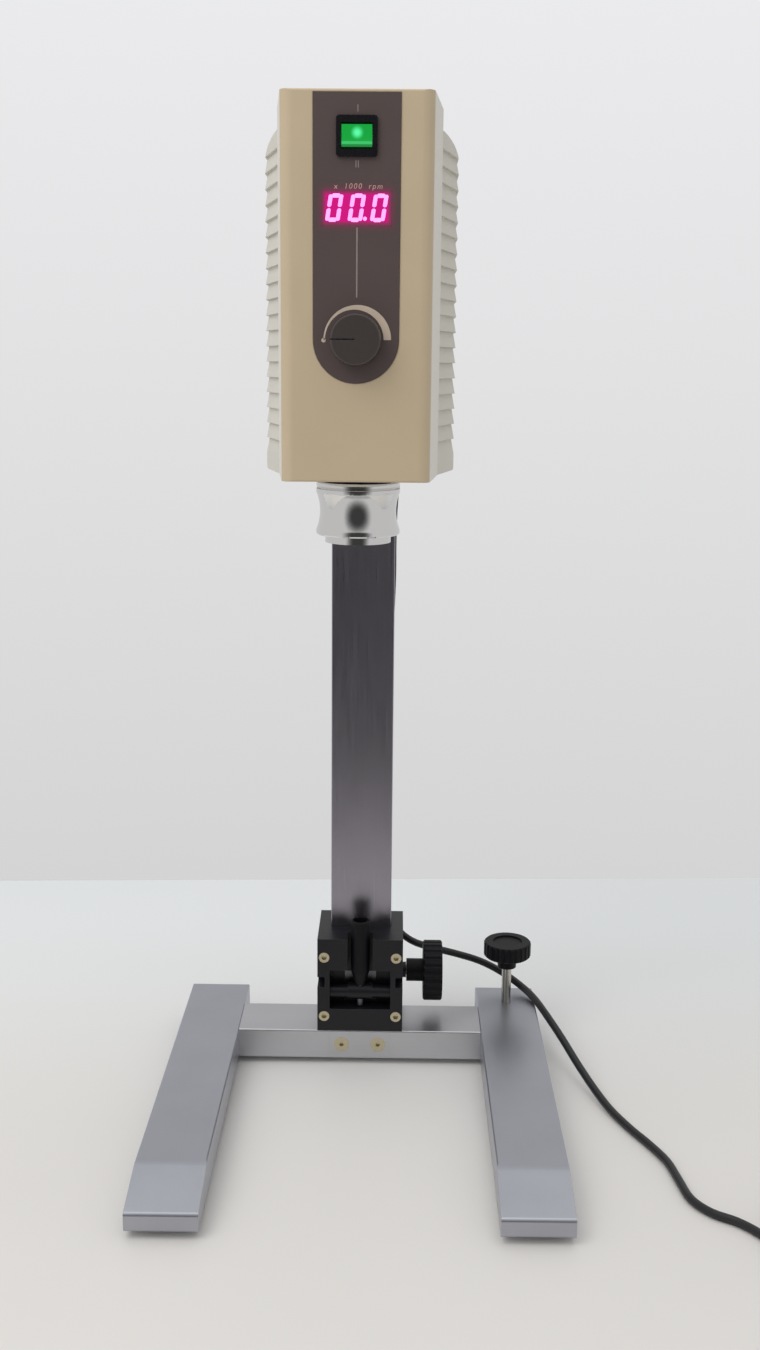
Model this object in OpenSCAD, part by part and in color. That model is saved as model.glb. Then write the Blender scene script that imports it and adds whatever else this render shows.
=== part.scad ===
// Rotor stator homogenizer: a motor head on a flat column, in a stand with a clamping guide block.
// Origin: centre of the legs' outline on the bench. +X right, +Y to the rear, +Z up. Millimetres.

/* [Stand] */
// Overall width of the stand
stand_w = 300; // [270:5:360]
// Length of each leg, front to back
leg_len = 336; // [320:2:400]
// Width of each leg
leg_w = 50; // [44:1:60]
// Height of each leg and of the cross bar
leg_h = 25; // [22:1:32]
// Length of the sloping nose at the front of each leg
nose_len = 50; // [30:1:80]
// Drop of the nose's top face over its length
nose_drop = 11; // [4:0.5:12]
// Rounding of the nose's front corners
nose_r = 3; // [1:0.5:4]
// Rounding of the long edges of the bars
edge_r = 1.5; // [0.5:0.1:3]
// Height of the feet
foot_h = 5; // [4:0.5:8]
// Diameter of the rubber feet
foot_d = 18; // [14:1:24]
// Distance of the feet from the ends of a leg
foot_inset = 22; // [16:1:30]
// Depth of the cross bar, front to back
bar_d = 50; // [48:1:60]
// Distance from the cross bar's rear face to the rear end of the legs
bar_inset = 38; // [32:1:60]
// Width of the key let into the front of the cross bar
key_w = 50; // [40:1:50]
// Depth of the key
key_d = 24; // [18:1:24]
// Distance between the two screws of the key
key_screw_pitch = 30; // [22:1:32]

/* [Levelling screw] */
// Diameter of the levelling screw's rod
level_rod_d = 8; // [6:0.5:10]
// Height of the knob's hub above the leg
level_reach = 33; // [20:1:45]
// Diameter of the levelling knob
level_knob_d = 40; // [30:1:46]
// Thickness of the levelling knob's disc
level_knob_t = 13; // [8:0.5:18]
// Hub diameter of the levelling knob
level_hub_d = 15.8; // [14:0.2:20]
// Hub height of the levelling knob
level_hub_h = 10; // [6:0.5:16]
// Distance of the levelling screw from the rear end of the leg
level_inset = 29; // [28:1:40]

/* [Column] */
// Width of the column
column_w = 50; // [40:1:52]
// Thickness of the column, front to back
column_t = 20; // [16:1:22]
// Height of the column's top end above the bench
column_top = 702; // [690:1:710]
// Height of the column's foot above the bench at the lowest position
column_foot = 6; // [5:0.5:9]

/* [Guide block] */
// Width of the guide block
block_w = 70; // [70:1:80]
// Height of the guide block
block_h = 80; // [78:1:96]
// Thickness of the block's front plate
plate_t = 16; // [16:0.5:18]
// Wall behind the column's slot
block_back = 14; // [10:1:20]
// Width of the slot for the lever
lever_slot_w = 20.6; // [18:0.2:24]
// Width of the window in the front plate
window_w = 50; // [44:1:52]
// Height of the window's lower edge above the block's foot
window_low = 19; // [17:0.5:20]
// Height of the window
window_h = 34; // [30:1:36]
// Depth of the finger notch in each side of the front plate
notch_depth = 6; // [3:0.5:6.5]
// Height of the finger notches
notch_h = 9; // [6:0.5:10]
// Distance of the plate's screws from the block's side faces
plate_screw_side = 5.5; // [5:0.1:6]
// Distance of the plate's upper screws from the block's top
plate_screw_top = 16; // [10:1:18]
// Distance of the plate's lower screws from the block's foot
plate_screw_low = 12.5; // [11.5:0.5:14]

/* [Clamp lever] */
// Diameter of the cross shaft
shaft_d = 11; // [9:0.5:11.5]
// Height of the cross shaft above the block's foot
shaft_z = 31.5; // [30:0.5:33]
// Diameter of the eccentric on the cross shaft
cam_d = 14; // [13.6:0.1:14.4]
// Offset of the eccentric from the shaft's axis
cam_offset = 1; // [0.8:0.1:1]
// Diameter of the lever's rod
lever_rod_d = 6.4; // [5:0.1:7]
// Reach of the lever's stub below the shaft's axis
lever_stub = 11.5; // [9:0.5:12]
// Outer diameter of the grip
grip_d = 15.3; // [13:0.1:15.5]
// Inner diameter of the grip's open end
grip_bore = 11.5; // [9:0.1:12]
// Length of the grip's straight part
grip_len = 43.5; // [30:0.5:60]
// Length of the taper below the grip
grip_taper = 12.5; // [8:0.5:16]
// Distance from the shaft's axis to the taper's thin end
grip_start = 6.6; // [6.2:0.1:8]

/* [Side clamp] */
// Height of the clamp knob's axis above the block's foot
clamp_z = 37; // [34:1:40]
// Diameter of the clamp's stud
stud_d = 8; // [6:0.5:10]
// Diameter of the boss on the block's side
boss_d = 13; // [13:0.5:16]
// Height of that boss
boss_h = 3; // [2:0.5:5]
// Diameter of the clamp knob
clamp_knob_d = 50; // [40:1:56]
// Thickness of the clamp knob's disc
clamp_knob_t = 16; // [10:0.5:20]
// Hub diameter of the clamp knob
clamp_hub_d = 19; // [16:0.5:24]
// Hub height of the clamp knob
clamp_hub_h = 14; // [8:0.5:18]
// Number of flutes round each knob
flutes = 24; // [16:1:30]

/* [Head] */
// Height of the head's underside above the bench
head_bottom = 497; // [480:1:500]
// Distance of the head's front face ahead of the stand's centre
head_front = 122; // [115:1:130]
// Height of the front cover
cover_h = 229.5; // [226:0.5:240]
// Width of the front cover at its front face
cover_front_w = 91; // [88:0.5:96]
// Width of the front cover where it meets the rear housing
cover_back_w = 105.4; // [104:0.2:110]
// Depth of the front cover
cover_d = 69; // [68:0.5:74]
// Rounding of the front cover's upright edges
cover_r = 8; // [4:0.5:12]
// Width of the rear housing
housing_w = 130; // [124:1:136]
// Depth over which the rear housing widens
flare_d = 48; // [40:1:60]
// Height of the rear housing
housing_h = 217; // [214:0.5:219]
// Rounding of the rear housing's top and rear edges
housing_r = 14; // [8:1:15]
// Wall thickness of both shells
wall = 3; // [2.8:0.1:3.6]
// Number of louvre steps down each flank
rib_count = 19; // [12:1:19]
// Height of one louvre step
rib_pitch = 10.25; // [8:0.05:10.3]
// Depth of one louvre step
rib_depth = 2; // [1:0.1:2.2]
// Height of the lowest step above the head's underside
rib_start = 11.3; // [8:0.1:13]
// Thickness of the bracket between head and column
bracket_t = 5; // [4:0.5:8]

/* [Controls] */
// Width of the control panel
panel_w = 52; // [48:0.5:56]
// Height of the panel's lower arc centre above the head's underside
knob_z = 86; // [80:0.5:92]
// Distance from the panel's top to the cover's top
panel_inset = 2; // [1.8:0.1:4]
// Thickness of the panel
panel_t = 1.6; // [1.2:0.1:2]
// Depth of the panel's seat in the cover
panel_seat = 1; // [0.6:0.1:1.2]
// Width of the switch bezel
bezel_w = 24.6; // [24:0.1:26]
// Height of the switch bezel
bezel_h = 23.4; // [22:0.1:26]
// Height of the bezel over the panel
bezel_t = 2; // [1.5:0.1:2.4]
// Height of the switch's centre above the head's underside
switch_z = 202.8; // [196:0.1:204]
// Width of the rocker
rocker_w = 18; // [16:0.1:18.4]
// Height of the rocker
rocker_h = 12.6; // [11:0.1:13]
// Width of the display window
window_lens_w = 42; // [38:0.5:44]
// Height of the display window
window_lens_h = 20; // [16:0.5:22]
// Height of the display's centre above the head's underside
display_z = 162; // [156:0.5:166]
// Diameter of the speed knob
knob_d = 31; // [26:0.5:34]
// Height of the speed knob
knob_h = 15; // [11:0.5:18]

/* [Drive] */
// Distance of the drive's axis behind the head's front face
spindle_inset = 68; // [66:0.5:70]
// Diameter of the neck under the head
neck_d = 46; // [42:0.5:50]
// Height of the neck
neck_h = 8; // [5:0.5:12]
// Diameter of the coupling nut's rims
nut_d = 56; // [52:0.5:60]
// Diameter of the coupling nut's waist
nut_waist_d = 51; // [48:0.5:52]
// Height of the coupling nut
nut_h = 31.6; // [26:0.2:40]
// Outer diameter of the spigot that the nut turns on
spigot_d = 36; // [34:0.5:40]
// Outer diameter of the retaining ring
ring_d = 44; // [42:0.5:48]
// Height of the retaining ring
ring_h = 4.9; // [3:0.1:8]
// Diameter of the seat bore for the dispersing tool
seat_bore_d = 22; // [18:0.5:24]
// Length of the seat bore
seat_bore_len = 20; // [16:0.5:22]
// Diameter of the motor shaft
motor_shaft_d = 10; // [8:0.5:12]
// Outer diameter of the motor's stator
stator_d = 84; // [76:1:86]
// Height of the stator
stator_h = 80; // [60:1:84]
// Diameter of the armature
armature_d = 50; // [44:1:52]
// Outer diameter of the ball bearings
bearing_d = 26; // [24:1:28]
// Width of the ball bearings
bearing_h = 8; // [7:0.5:9]
// Diameter of the cooling fan
fan_d = 74; // [60:1:76]

/* [Mains lead] */
// Diameter of the mains lead
cord_d = 6.2; // [5:0.1:7]
// Length of the tapered strain relief outside the head
relief_len = 32; // [20:1:40]

/* [Fits] */
// Radial clearance of shafts and pins that turn
run_gap = 0.05; // [0.03:0.01:0.08]
// Clearance round the column in its slot
slide_gap = 0.15; // [0.1:0.05:0.3]
// Radial clearance round screws
screw_gap = 0.1; // [0.05:0.05:0.2]
// Gap between pieces that move past each other
part_gap = 0.3; // [0.2:0.1:0.5]

/* [Hidden] */
$fn = 64;
over = 1;            // how far a cutter runs past the face it opens

// Stand
leg_top = foot_h + leg_h;
bar_mid_z = foot_h + leg_h / 2;
bar_y1 = leg_len / 2 - bar_inset;
bar_y0 = bar_y1 - bar_d;
bar_half = stand_w / 2 - leg_w;
leg_bolt_d = 6;
leg_bolt_head = [10, 6];
leg_bolt_reach = 20;  // how far a leg bolt enters the cross bar
leg_bolt_inset = 12;  // distance of the leg bolts from the bar's faces
leg_bolt_y = [bar_y0 + leg_bolt_inset, bar_y1 - leg_bolt_inset];
leg_mid = stand_w / 2 - leg_w / 2;
foot_peg = [6, 8];
foot_places = [
  [-leg_mid, -leg_len / 2 + foot_inset], [-leg_mid, leg_len / 2 - foot_inset],
  [leg_mid, -leg_len / 2 + foot_inset]];
key_screw = [12.5, 6];

// Column and its slot
column_y1 = bar_y1;
column_y0 = column_y1 - column_t;
slot_half = column_w / 2 + slide_gap;
slot_y0 = column_y0 - slide_gap;
slot_y1 = column_y1 + slide_gap;

// Guide block, front plate and their screws
block_z1 = leg_top + block_h;
block_y1 = column_y1 + block_back;
plate_y1 = bar_y0 + plate_t;
shaft_y = bar_y0 + plate_t / 2;
shaft_axis_z = leg_top + shaft_z;
window_z0 = leg_top + window_low;
window_z1 = window_z0 + window_h;
journal_len = 5;      // how far the cross shaft sits in each side of the plate
plate_screw_d = 5;
plate_screw_head = [8.6, 5];
plate_screw_reach = 14;
screw_x = block_w / 2 - plate_screw_side;
block_bolt_head = [8.6, 5];
block_bolt_reach = 8;
block_bolt_inset = 8; // distance of the block bolts from the bar's rear face
block_bolt_front = 23; // and of the front ones from its front face
block_bolt_x = (slot_half + block_w / 2) / 2;
block_bolt_places = [for (x = [-1, 1], y = [bar_y0 + block_bolt_front, bar_y1 - block_bolt_inset]) [x * block_bolt_x, y]];
plate_screw_z = [block_z1 - plate_screw_top, leg_top + plate_screw_low];

// Clamp shoe behind the eccentric
shoe_gap = 0.1;
shoe_y0 = shaft_y + cam_offset + cam_d / 2 + shoe_gap;
shoe_y1 = column_y0 - run_gap;
shoe_half = 13;
shoe_slot_half = lever_rod_d / 2 + 1;
shoe_z0 = window_z0 + 1;
shoe_z1 = window_z1 - 7;
cam_half = shoe_half - 3;

// Side clamp
clamp_y = (column_y0 + column_y1) / 2;
clamp_axis_z = leg_top + clamp_z;
pad_t = 3;
pad_x0 = column_w / 2 + run_gap;
hub_x0 = block_w / 2 + boss_h + part_gap;
knob_x0 = hub_x0 + clamp_hub_h;

// Levelling screw
level_x = leg_mid;
level_y = leg_len / 2 - level_inset;
level_pad_d = 20;
level_socket = 2;     // depth of the socket in the foot pad
bush_d = 14;
bush_len = 18;
level_hub_z = leg_top + level_reach;

// Head
cover_y0 = -head_front;
cover_y1 = cover_y0 + cover_d;
cover_top = head_bottom + cover_h;
housing_y1 = column_y0 - bracket_t;
housing_top = head_bottom + housing_h;
boss_x = 12;          // bracket screws, distance from the middle
bracket_screw_z = [head_bottom + 48, head_bottom + 168];
bracket_margin = [18, 25];  // from the screws to the plate's edges, across and up
bracket_screw_d = 6;
bracket_screw_head = [10, 6];
housing_boss_d = 14;
housing_boss_len = 12;
board_post = [8, 18];
board_post_x = 35;
board_post_z = [head_bottom + 38, head_bottom + 178];
board_y1 = housing_y1 - wall - board_post[1];
board_t = 1.6;
board_margin = [7, 10];   // from the posts to the board's edges, across and up
heat_sink = [26, 14, 34];
transformer = [28, 10, 60];
capacitor = [12, 16];     // diameter, height
capacitor_pitch = 20;
solder = 0.2;             // how far the parts sit in the board
tab_x = 37;
tab = [12, 12, 5.8];
cover_screw_d = 4;
cover_screw_head = 7.6;

// Panel and controls
panel_front = cover_y0 - (panel_t - panel_seat);
knob_axis_z = head_bottom + knob_z;
switch_axis_z = head_bottom + switch_z;
display_axis_z = head_bottom + display_z;
panel_top = cover_top - panel_inset;
seat_edge = 0.1;      // gap round the panel in its seat
lens_edge = 0.1;
bezel_front = panel_front - bezel_t;
switch_body = [20.6, 19, 22];
rocker_pin_d = 3;
rocker_pin_y = bezel_front + 7;
rocker_depth = 9;
rocker_dish = 1.3;
rocker_swing = 1.2;   // room above and below the rocker in its bezel, for its corners as it tips
rocker_side = 0.3;
pot_d = 24;
pot_t = 10;
pot_bush_d = 9;
knob_shaft_d = 6;
knob_base = panel_front - 0.8;

// Drive
spindle_y = cover_y0 + spindle_inset;
neck_z0 = head_bottom - neck_h;
nut_gap = 0.2;
nut_z1 = neck_z0 - nut_gap;
nut_z0 = nut_z1 - nut_h;
ring_z1 = nut_z0 - nut_gap;
ring_z0 = ring_z1 - ring_h;
flange_z0 = head_bottom + wall;
flange_t = 6;
flange_d = 58;
frame_z0 = flange_z0 + flange_t;
frame_t = 4;
dog_d = 16;
dog_len = 12;
relief_d = seat_bore_d + 4;
fan_z0 = frame_z0 + frame_t + 4;
fan_h = 18;
post_d = 6;
frame_d = stator_d + 6;
stator_z0 = fan_z0 + fan_h + 5;
stator_z1 = stator_z0 + stator_h;
shield_h = 34;
shield_z1 = stator_z1 + shield_h;
upper_bearing_z0 = shield_z1 - bearing_h;
commutator_d = 26;
commutator_h = 18;
commutator_z0 = stator_z1 + 6;
brush = [10, 9, 10];
shaft_z0 = head_bottom - neck_h - dog_len / 2;
shaft_z1 = shield_z1 + 4;

// Mains lead
gland_x = 40;
gland_z = head_bottom + 78;
gland_root_d = 14;
gland_tip_d = cord_d + 2.4;
relief_y1 = housing_y1 + relief_len;
relief_gap = 0.5;     // between the strain relief, which rises with the head, and the lead
cord_r = cord_d / 2;
cord_sides = 8;
cord_steps = 2;       // rings between two neighbouring points of the route
// Points of the lead from the strain relief to the coil, chosen by hand
cord_route = [
  [gland_x, relief_y1 + relief_gap, gland_z], [gland_x, relief_y1 + 12, gland_z], [39, 161, 571], [38, 170, 562], [36, 174, 548], [33, 173, 528],
  [28, 168, 497], [24, 160, 460], [23, 155, 430], [23, 153, 400], [22, 153, 370], [20, 154, 340], [17, 155, 305],
  [14, 156, 270], [12, 156, 235], [11, 156, 200], [12, 156, 165], [15, 156, 135], [20, 156, 110],
  [29, 157, 90], [43, 161, 76], [62, 167, 67], [83, 171, 60], [104, 172, 53], [123, 167, 45],
  [139, 157, 37], [149, 140, 33.5], [157, 117, 30], [168, 88, 22], [178, 58, 14], [188, 29, 7.5],
  [197, 4, 4], [208, -22, cord_r], [219, -45, cord_r], [228, -68, cord_r], [232, -93, cord_r],
  [236, -116, cord_r], [247, -132, cord_r], [262, -142, cord_r], [274, -155, cord_r],
  [285, -174, cord_r], [298, -191, cord_r]
];
// Coil of the rest of the lead
coil_centre = [324, -165];
coil_r_in = 28;
coil_r_out = 40.4;
coil_h = 18.6;
coil_edge = 3;
plug_x = coil_centre.x + 36;
plug_y = [-150, -120, -82];
plug_size = [26, 24];
plug_axis_z = plug_size[1] / 2;
blade = [1.6, 6.4, 16];
blade_pitch = 12.7;

// ---- Functions and shared shapes ----

function unit(v) = v / norm(v);

// Points of a round corner at p between the directions to a and b
function corner(a, p, b, r, n = 6) =
  let (u = unit(a - p), v = unit(b - p), half = acos(u * v) / 2,
       c = p + unit(u + v) * r / sin(half),
       s = p + u * r / tan(half) - c, e = p + v * r / tan(half) - c,
       a0 = atan2(s.y, s.x), sweep = (atan2(e.y, e.x) - a0 + 540) % 360 - 180)
  [for (i = [0:n]) c + r * [cos(a0 + sweep * i / n), sin(a0 + sweep * i / n)]];

// Outline through the points with each corner rounded by its own radius
function rounded(points, radii, n = 6) =
  let (m = len(points))
  [for (i = [0:m - 1]) each radii[i] > 0
    ? corner(points[(i + m - 1) % m], points[i], points[(i + 1) % m], radii[i], n)
    : [points[i]]];

function rect(w, h) = [[-w / 2, -h / 2], [w / 2, -h / 2], [w / 2, h / 2], [-w / 2, h / 2]];

// Smooth curve through the route's points, by Catmull-Rom interpolation
function spline(p, i, t) =
  let (m = len(p), a = p[max(i - 1, 0)], b = p[i], c = p[min(i + 1, m - 1)], d = p[min(i + 2, m - 1)])
  b + 0.5 * t * (c - a + t * (2 * a - 5 * b + 4 * c - d + t * (3 * (b - c) + d - a)));
function route_rings(p, steps) =
  [for (i = [0:len(p) - 2], k = [0:steps - 1]) spline(p, i, k / steps), p[len(p) - 1]];

// Extrudes an outline drawn in (y, z) along X, from x0
module along_x(x0, length) translate([x0, 0, 0]) rotate([90, 0, 90]) linear_extrude(length) children();
// Extrudes an outline drawn in (x, z) along Y, from y0
module along_y(y0, length) translate([0, y0 + length, 0]) rotate([90, 0, 0]) linear_extrude(length) children();
// Round bar along X, from x0
module rod_x(x0, length, d, y, z) translate([x0, y, z]) rotate([0, 90, 0]) cylinder(h = length, d = d);
// Round bar along Y, from y0
module rod_y(y0, length, d, x, z) translate([x, y0, z]) rotate([-90, 0, 0]) cylinder(h = length, d = d);

// Socket-head screw: head from the origin down to -head[1], shank below it, length under the head
module socket_screw(head, d, length) {
  socket_depth = head[1] * 0.55;
  difference() {
    translate([0, 0, -head[1]]) cylinder(h = head[1], d = head[0]);
    translate([0, 0, -socket_depth]) cylinder(h = socket_depth + over, d = d * 0.9, $fn = 6);
  }
  translate([0, 0, -head[1] - length]) cylinder(h = length, d = d);
}

// Countersunk socket screw, top face at the origin
module flat_screw(head_d, d, length) {
  head_h = (head_d - d) / 2;
  difference() {
    translate([0, 0, -head_h]) cylinder(h = head_h, d1 = d, d2 = head_d);
    translate([0, 0, -head_h * 0.8]) cylinder(h = head_h + over, d = d * 0.62, $fn = 6);
  }
  translate([0, 0, -length]) cylinder(h = length - head_h, d = d);
}

// Fluted knob: hub from the origin up, disc on it, blind bore for the rod
module fluted_knob(hub_d, hub_h, disc_d, disc_t, bore_d, bore_depth) {
  edge = 1.2;
  flute_r = PI * disc_d / flutes * 0.32;
  difference() {
    union() {
      cylinder(h = hub_h + edge, d = hub_d);
      intersection() {
        translate([0, 0, hub_h]) linear_extrude(disc_t) difference() {
          circle(d = disc_d);
          for (i = [0:flutes - 1]) rotate(i * 360 / flutes)
            translate([disc_d / 2 + flute_r * 0.45, 0]) circle(r = flute_r, $fn = 24);
        }
        translate([0, 0, hub_h]) rotate_extrude() polygon([
          [0, 0], [disc_d / 2 - edge, 0], [disc_d / 2, edge], [disc_d / 2, disc_t - edge],
          [disc_d / 2 - edge, disc_t], [0, disc_t]]);
      }
    }
    translate([0, 0, -over]) cylinder(h = bore_depth + over, d = bore_d);
    translate([0, 0, hub_h + disc_t - 1.2]) cylinder(h = 1.2 + over, d = disc_d * 0.62);
  }
}

// ---- Stand ----

function leg_profile() = rounded(
  [[-leg_len / 2, foot_h], [leg_len / 2, foot_h], [leg_len / 2, leg_top],
   [-leg_len / 2 + nose_len, leg_top], [-leg_len / 2, leg_top - nose_drop]],
  [nose_r, edge_r, edge_r, 0, nose_r]);

module leg(x0, side) {
  outer_x = side * stand_w / 2;
  difference() {
    intersection() {
      along_x(x0, leg_w) polygon(leg_profile());
      translate([x0 + leg_w / 2, 0, bar_mid_z]) along_y(-leg_len / 2, leg_len)
        polygon(rounded(rect(leg_w, leg_h), [edge_r, edge_r, edge_r, edge_r], 4));
    }
    for (y = leg_bolt_y) {
      rod_x(x0 - over, leg_w + 2 * over, leg_bolt_d + 2 * screw_gap, y, bar_mid_z);
      rod_x(min(outer_x, outer_x - side * leg_bolt_head[1]) - (side < 0 ? over : 0), leg_bolt_head[1] + over,
            leg_bolt_head[0] + 2 * screw_gap, y, bar_mid_z);
    }
    for (p = foot_places) if (sign(p.x) == side)
      translate([p.x, p.y, foot_h - over]) cylinder(h = foot_peg[1] + over, d = foot_peg[0]);
    if (side > 0) translate([level_x, level_y, 0]) {
      translate([0, 0, foot_h - over]) cylinder(h = leg_h, d = level_rod_d + 1);
      translate([0, 0, leg_top - bush_len]) cylinder(h = bush_len + over, d = bush_d);
    }
  }
}

module left_leg() color("#9398a3") leg(-stand_w / 2, -1);

module right_leg() color("#8d929c") leg(stand_w / 2 - leg_w, 1);

module cross_bar() color("#8d929c") difference() {
  along_x(-bar_half, 2 * bar_half) translate([(bar_y0 + bar_y1) / 2, bar_mid_z])
    polygon(rounded(rect(bar_d, leg_h), [edge_r, edge_r, edge_r, edge_r], 4));
  // pocket for the key, open to the front
  translate([-key_w / 2, bar_y0 - over, foot_h - over]) cube([key_w, key_d + over, leg_h + 2 * over]);
  // slot for the column's foot, open to the rear
  translate([-slot_half, slot_y0, foot_h - over]) cube([2 * slot_half, bar_d, leg_h + 2 * over]);
  for (x = [-1, 1] * key_screw_pitch / 2) rod_y(bar_y0, bar_d, 6 + 2 * screw_gap, x, bar_mid_z);
  for (side = [-1, 1], y = leg_bolt_y)
    rod_x(side > 0 ? bar_half - leg_bolt_reach - over : -bar_half - over, leg_bolt_reach + 2 * over,
          leg_bolt_d + 2 * screw_gap, y, bar_mid_z);
  for (p = block_bolt_places) translate([p.x, p.y, foot_h - over]) {
    cylinder(h = leg_h + 2 * over, d = plate_screw_d + 2 * screw_gap);
    cylinder(h = block_bolt_head[1] + over, d = block_bolt_head[0] + 2 * screw_gap);
  }
}

module column_key() color("#999ea8") difference() {
  along_x(-key_w / 2, key_w) translate([bar_y0 + key_d / 2, bar_mid_z])
    polygon(rounded(rect(key_d, leg_h), [edge_r, 0, 0, edge_r], 4));
  for (x = [-1, 1] * key_screw_pitch / 2) {
    rod_y(bar_y0 - over, key_d + 2 * over, key_screw[1] + 2 * screw_gap, x, bar_mid_z);
    translate([x, bar_y0, bar_mid_z]) rotate([-90, 0, 0])
      cylinder(h = (key_screw[0] - key_screw[1]) / 2, d1 = key_screw[0], d2 = key_screw[1]);
  }
}

module key_screws() color("#a39a80") for (x = [-1, 1] * key_screw_pitch / 2)
  translate([x, bar_y0, bar_mid_z]) rotate([90, 0, 0])
    flat_screw(key_screw[0], key_screw[1], column_y0 - slide_gap - bar_y0 - 1);

module leg_bolts() color("#6f7278") for (side = [-1, 1], y = leg_bolt_y)
  translate([side * stand_w / 2, y, bar_mid_z]) rotate([0, side * 90, 0])
    socket_screw(leg_bolt_head, leg_bolt_d, leg_w - leg_bolt_head[1] + leg_bolt_reach - 2);

module rubber_feet() color("#1c1c1e") for (p = foot_places) translate([p.x, p.y, 0]) {
  cylinder(h = foot_h, d1 = foot_d - 2, d2 = foot_d);
  cylinder(h = foot_h + foot_peg[1] - 1, d = foot_peg[0]);
}

module levelling_bush() color("#b59a5a") translate([level_x, level_y, leg_top - bush_len]) difference() {
  cylinder(h = bush_len, d = bush_d);
  translate([0, 0, -over]) cylinder(h = bush_len + 2 * over, d = level_rod_d + 2 * screw_gap);
}

// ---- Guide block ----

module guide_block() color("#15151b") difference() {
  union() {
    translate([-block_w / 2, plate_y1, leg_top]) cube([block_w, block_y1 - plate_y1, block_h]);
    rod_x(block_w / 2 - over, boss_h + over, boss_d, clamp_y, clamp_axis_z);
  }
  // slot for the column
  translate([-slot_half, slot_y0, leg_top - over]) cube([2 * slot_half, slot_y1 - slot_y0, block_h + 2 * over]);
  // pocket for the clamp shoe, from the front plate into the slot
  translate([-shoe_half - slide_gap, plate_y1 - over, shoe_z0 - slide_gap])
    cube([2 * (shoe_half + slide_gap), slot_y0 - plate_y1 + 2 * over, shoe_z1 - shoe_z0 + 2 * slide_gap]);
  rod_x(0, block_w, stud_d + 2 * screw_gap, clamp_y, clamp_axis_z);
  for (x = [-1, 1] * screw_x, z = plate_screw_z)
    rod_y(plate_y1 - over, plate_screw_reach + 1 + over, plate_screw_d + 2 * screw_gap, x, z);
  for (p = block_bolt_places) translate([p.x, p.y, leg_top - over])
    cylinder(h = block_bolt_reach + 1 + over, d = plate_screw_d + 2 * screw_gap);
}

module block_bolts() color("#6f7278") for (p = block_bolt_places) translate([p.x, p.y, foot_h]) mirror([0, 0, 1])
  socket_screw(block_bolt_head, plate_screw_d, leg_h - block_bolt_head[1] + block_bolt_reach);

module front_plate() color("#15151b") difference() {
  translate([-block_w / 2, bar_y0, leg_top]) cube([block_w, plate_t, block_h]);
  // T-shaped opening: slot from the top into the window
  translate([-lever_slot_w / 2, bar_y0 - over, window_z1 - over]) cube([lever_slot_w, plate_t + 2 * over, block_h]);
  translate([-window_w / 2, bar_y0 - over, window_z0]) cube([window_w, plate_t + 2 * over, window_h]);
  rod_x(-window_w / 2 - journal_len - part_gap, window_w + 2 * (journal_len + part_gap), shaft_d + 2 * run_gap,
        shaft_y, shaft_axis_z);
  for (side = [-1, 1]) translate([side * (block_w / 2 - notch_depth / 2) - notch_depth / 2 - (side < 0 ? over : 0),
                                  bar_y0 - over, window_z1 - notch_h - 6])
    cube([notch_depth + over, plate_t + 2 * over, notch_h]);
  for (x = [-1, 1] * screw_x, z = plate_screw_z) {
    rod_y(bar_y0 - over, plate_t + 2 * over, plate_screw_d + 2 * screw_gap, x, z);
    rod_y(bar_y0 - over, plate_screw_head[1] + over, plate_screw_head[0] + 2 * screw_gap, x, z);
  }
}

module plate_screws() color("#a39a80") for (x = [-1, 1] * screw_x, z = plate_screw_z)
  translate([x, bar_y0, z]) rotate([90, 0, 0])
    socket_screw(plate_screw_head, plate_screw_d, plate_t - plate_screw_head[1] + plate_screw_reach);

// ---- Clamp lever, upright and clamped ----

module cam_shaft() color("#202024") difference() {
  union() {
    rod_x(-window_w / 2 - journal_len, window_w + 2 * journal_len, shaft_d, shaft_y, shaft_axis_z);
    rod_x(-cam_half, 2 * cam_half, cam_d, shaft_y + cam_offset, shaft_axis_z);
  }
  translate([0, shaft_y, shaft_axis_z - lever_stub - over])
    cylinder(h = 2 * lever_stub + 2 * over, d = lever_rod_d);
}

module lever_rod() color("#2a2a2e") translate([0, shaft_y, shaft_axis_z - lever_stub])
  cylinder(h = lever_stub + grip_start + grip_taper + 6, d = lever_rod_d);

module lever_grip() color("#18181c") translate([0, shaft_y, shaft_axis_z + grip_start]) difference() {
  rotate_extrude() polygon([
    [0, 0], [lever_rod_d / 2 + 1.2, 0], [grip_d / 2, grip_taper], [grip_d / 2, grip_taper + grip_len - 0.8],
    [grip_d / 2 - 0.8, grip_taper + grip_len], [0, grip_taper + grip_len]]);
  translate([0, 0, -over]) cylinder(h = grip_taper + 6 + over, d = lever_rod_d);
  translate([0, 0, grip_taper + 6]) cylinder(h = grip_len, d = grip_bore);
}

module clamp_shoe() color("#8a7a55") difference() {
  translate([-shoe_half, shoe_y0, shoe_z0]) cube([2 * shoe_half, shoe_y1 - shoe_y0, shoe_z1 - shoe_z0]);
  // slot that the lever's stub swings into
  translate([-shoe_slot_half, shoe_y0 - over, shoe_z0 - over])
    cube([2 * shoe_slot_half, shaft_y + lever_stub - shoe_y0 + 2 * over + 0.6,
          shaft_axis_z + lever_rod_d + 2 - shoe_z0 + over]);
}

// ---- Side clamp ----

module clamp_pad() color("#b59a5a") rod_x(pad_x0, pad_t, stud_d - 0.4, clamp_y, clamp_axis_z);

module clamp_stud() color("#8f9196")
  rod_x(pad_x0 + pad_t, knob_x0 + clamp_knob_t * 0.5 - pad_x0 - pad_t, stud_d, clamp_y, clamp_axis_z);

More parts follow.
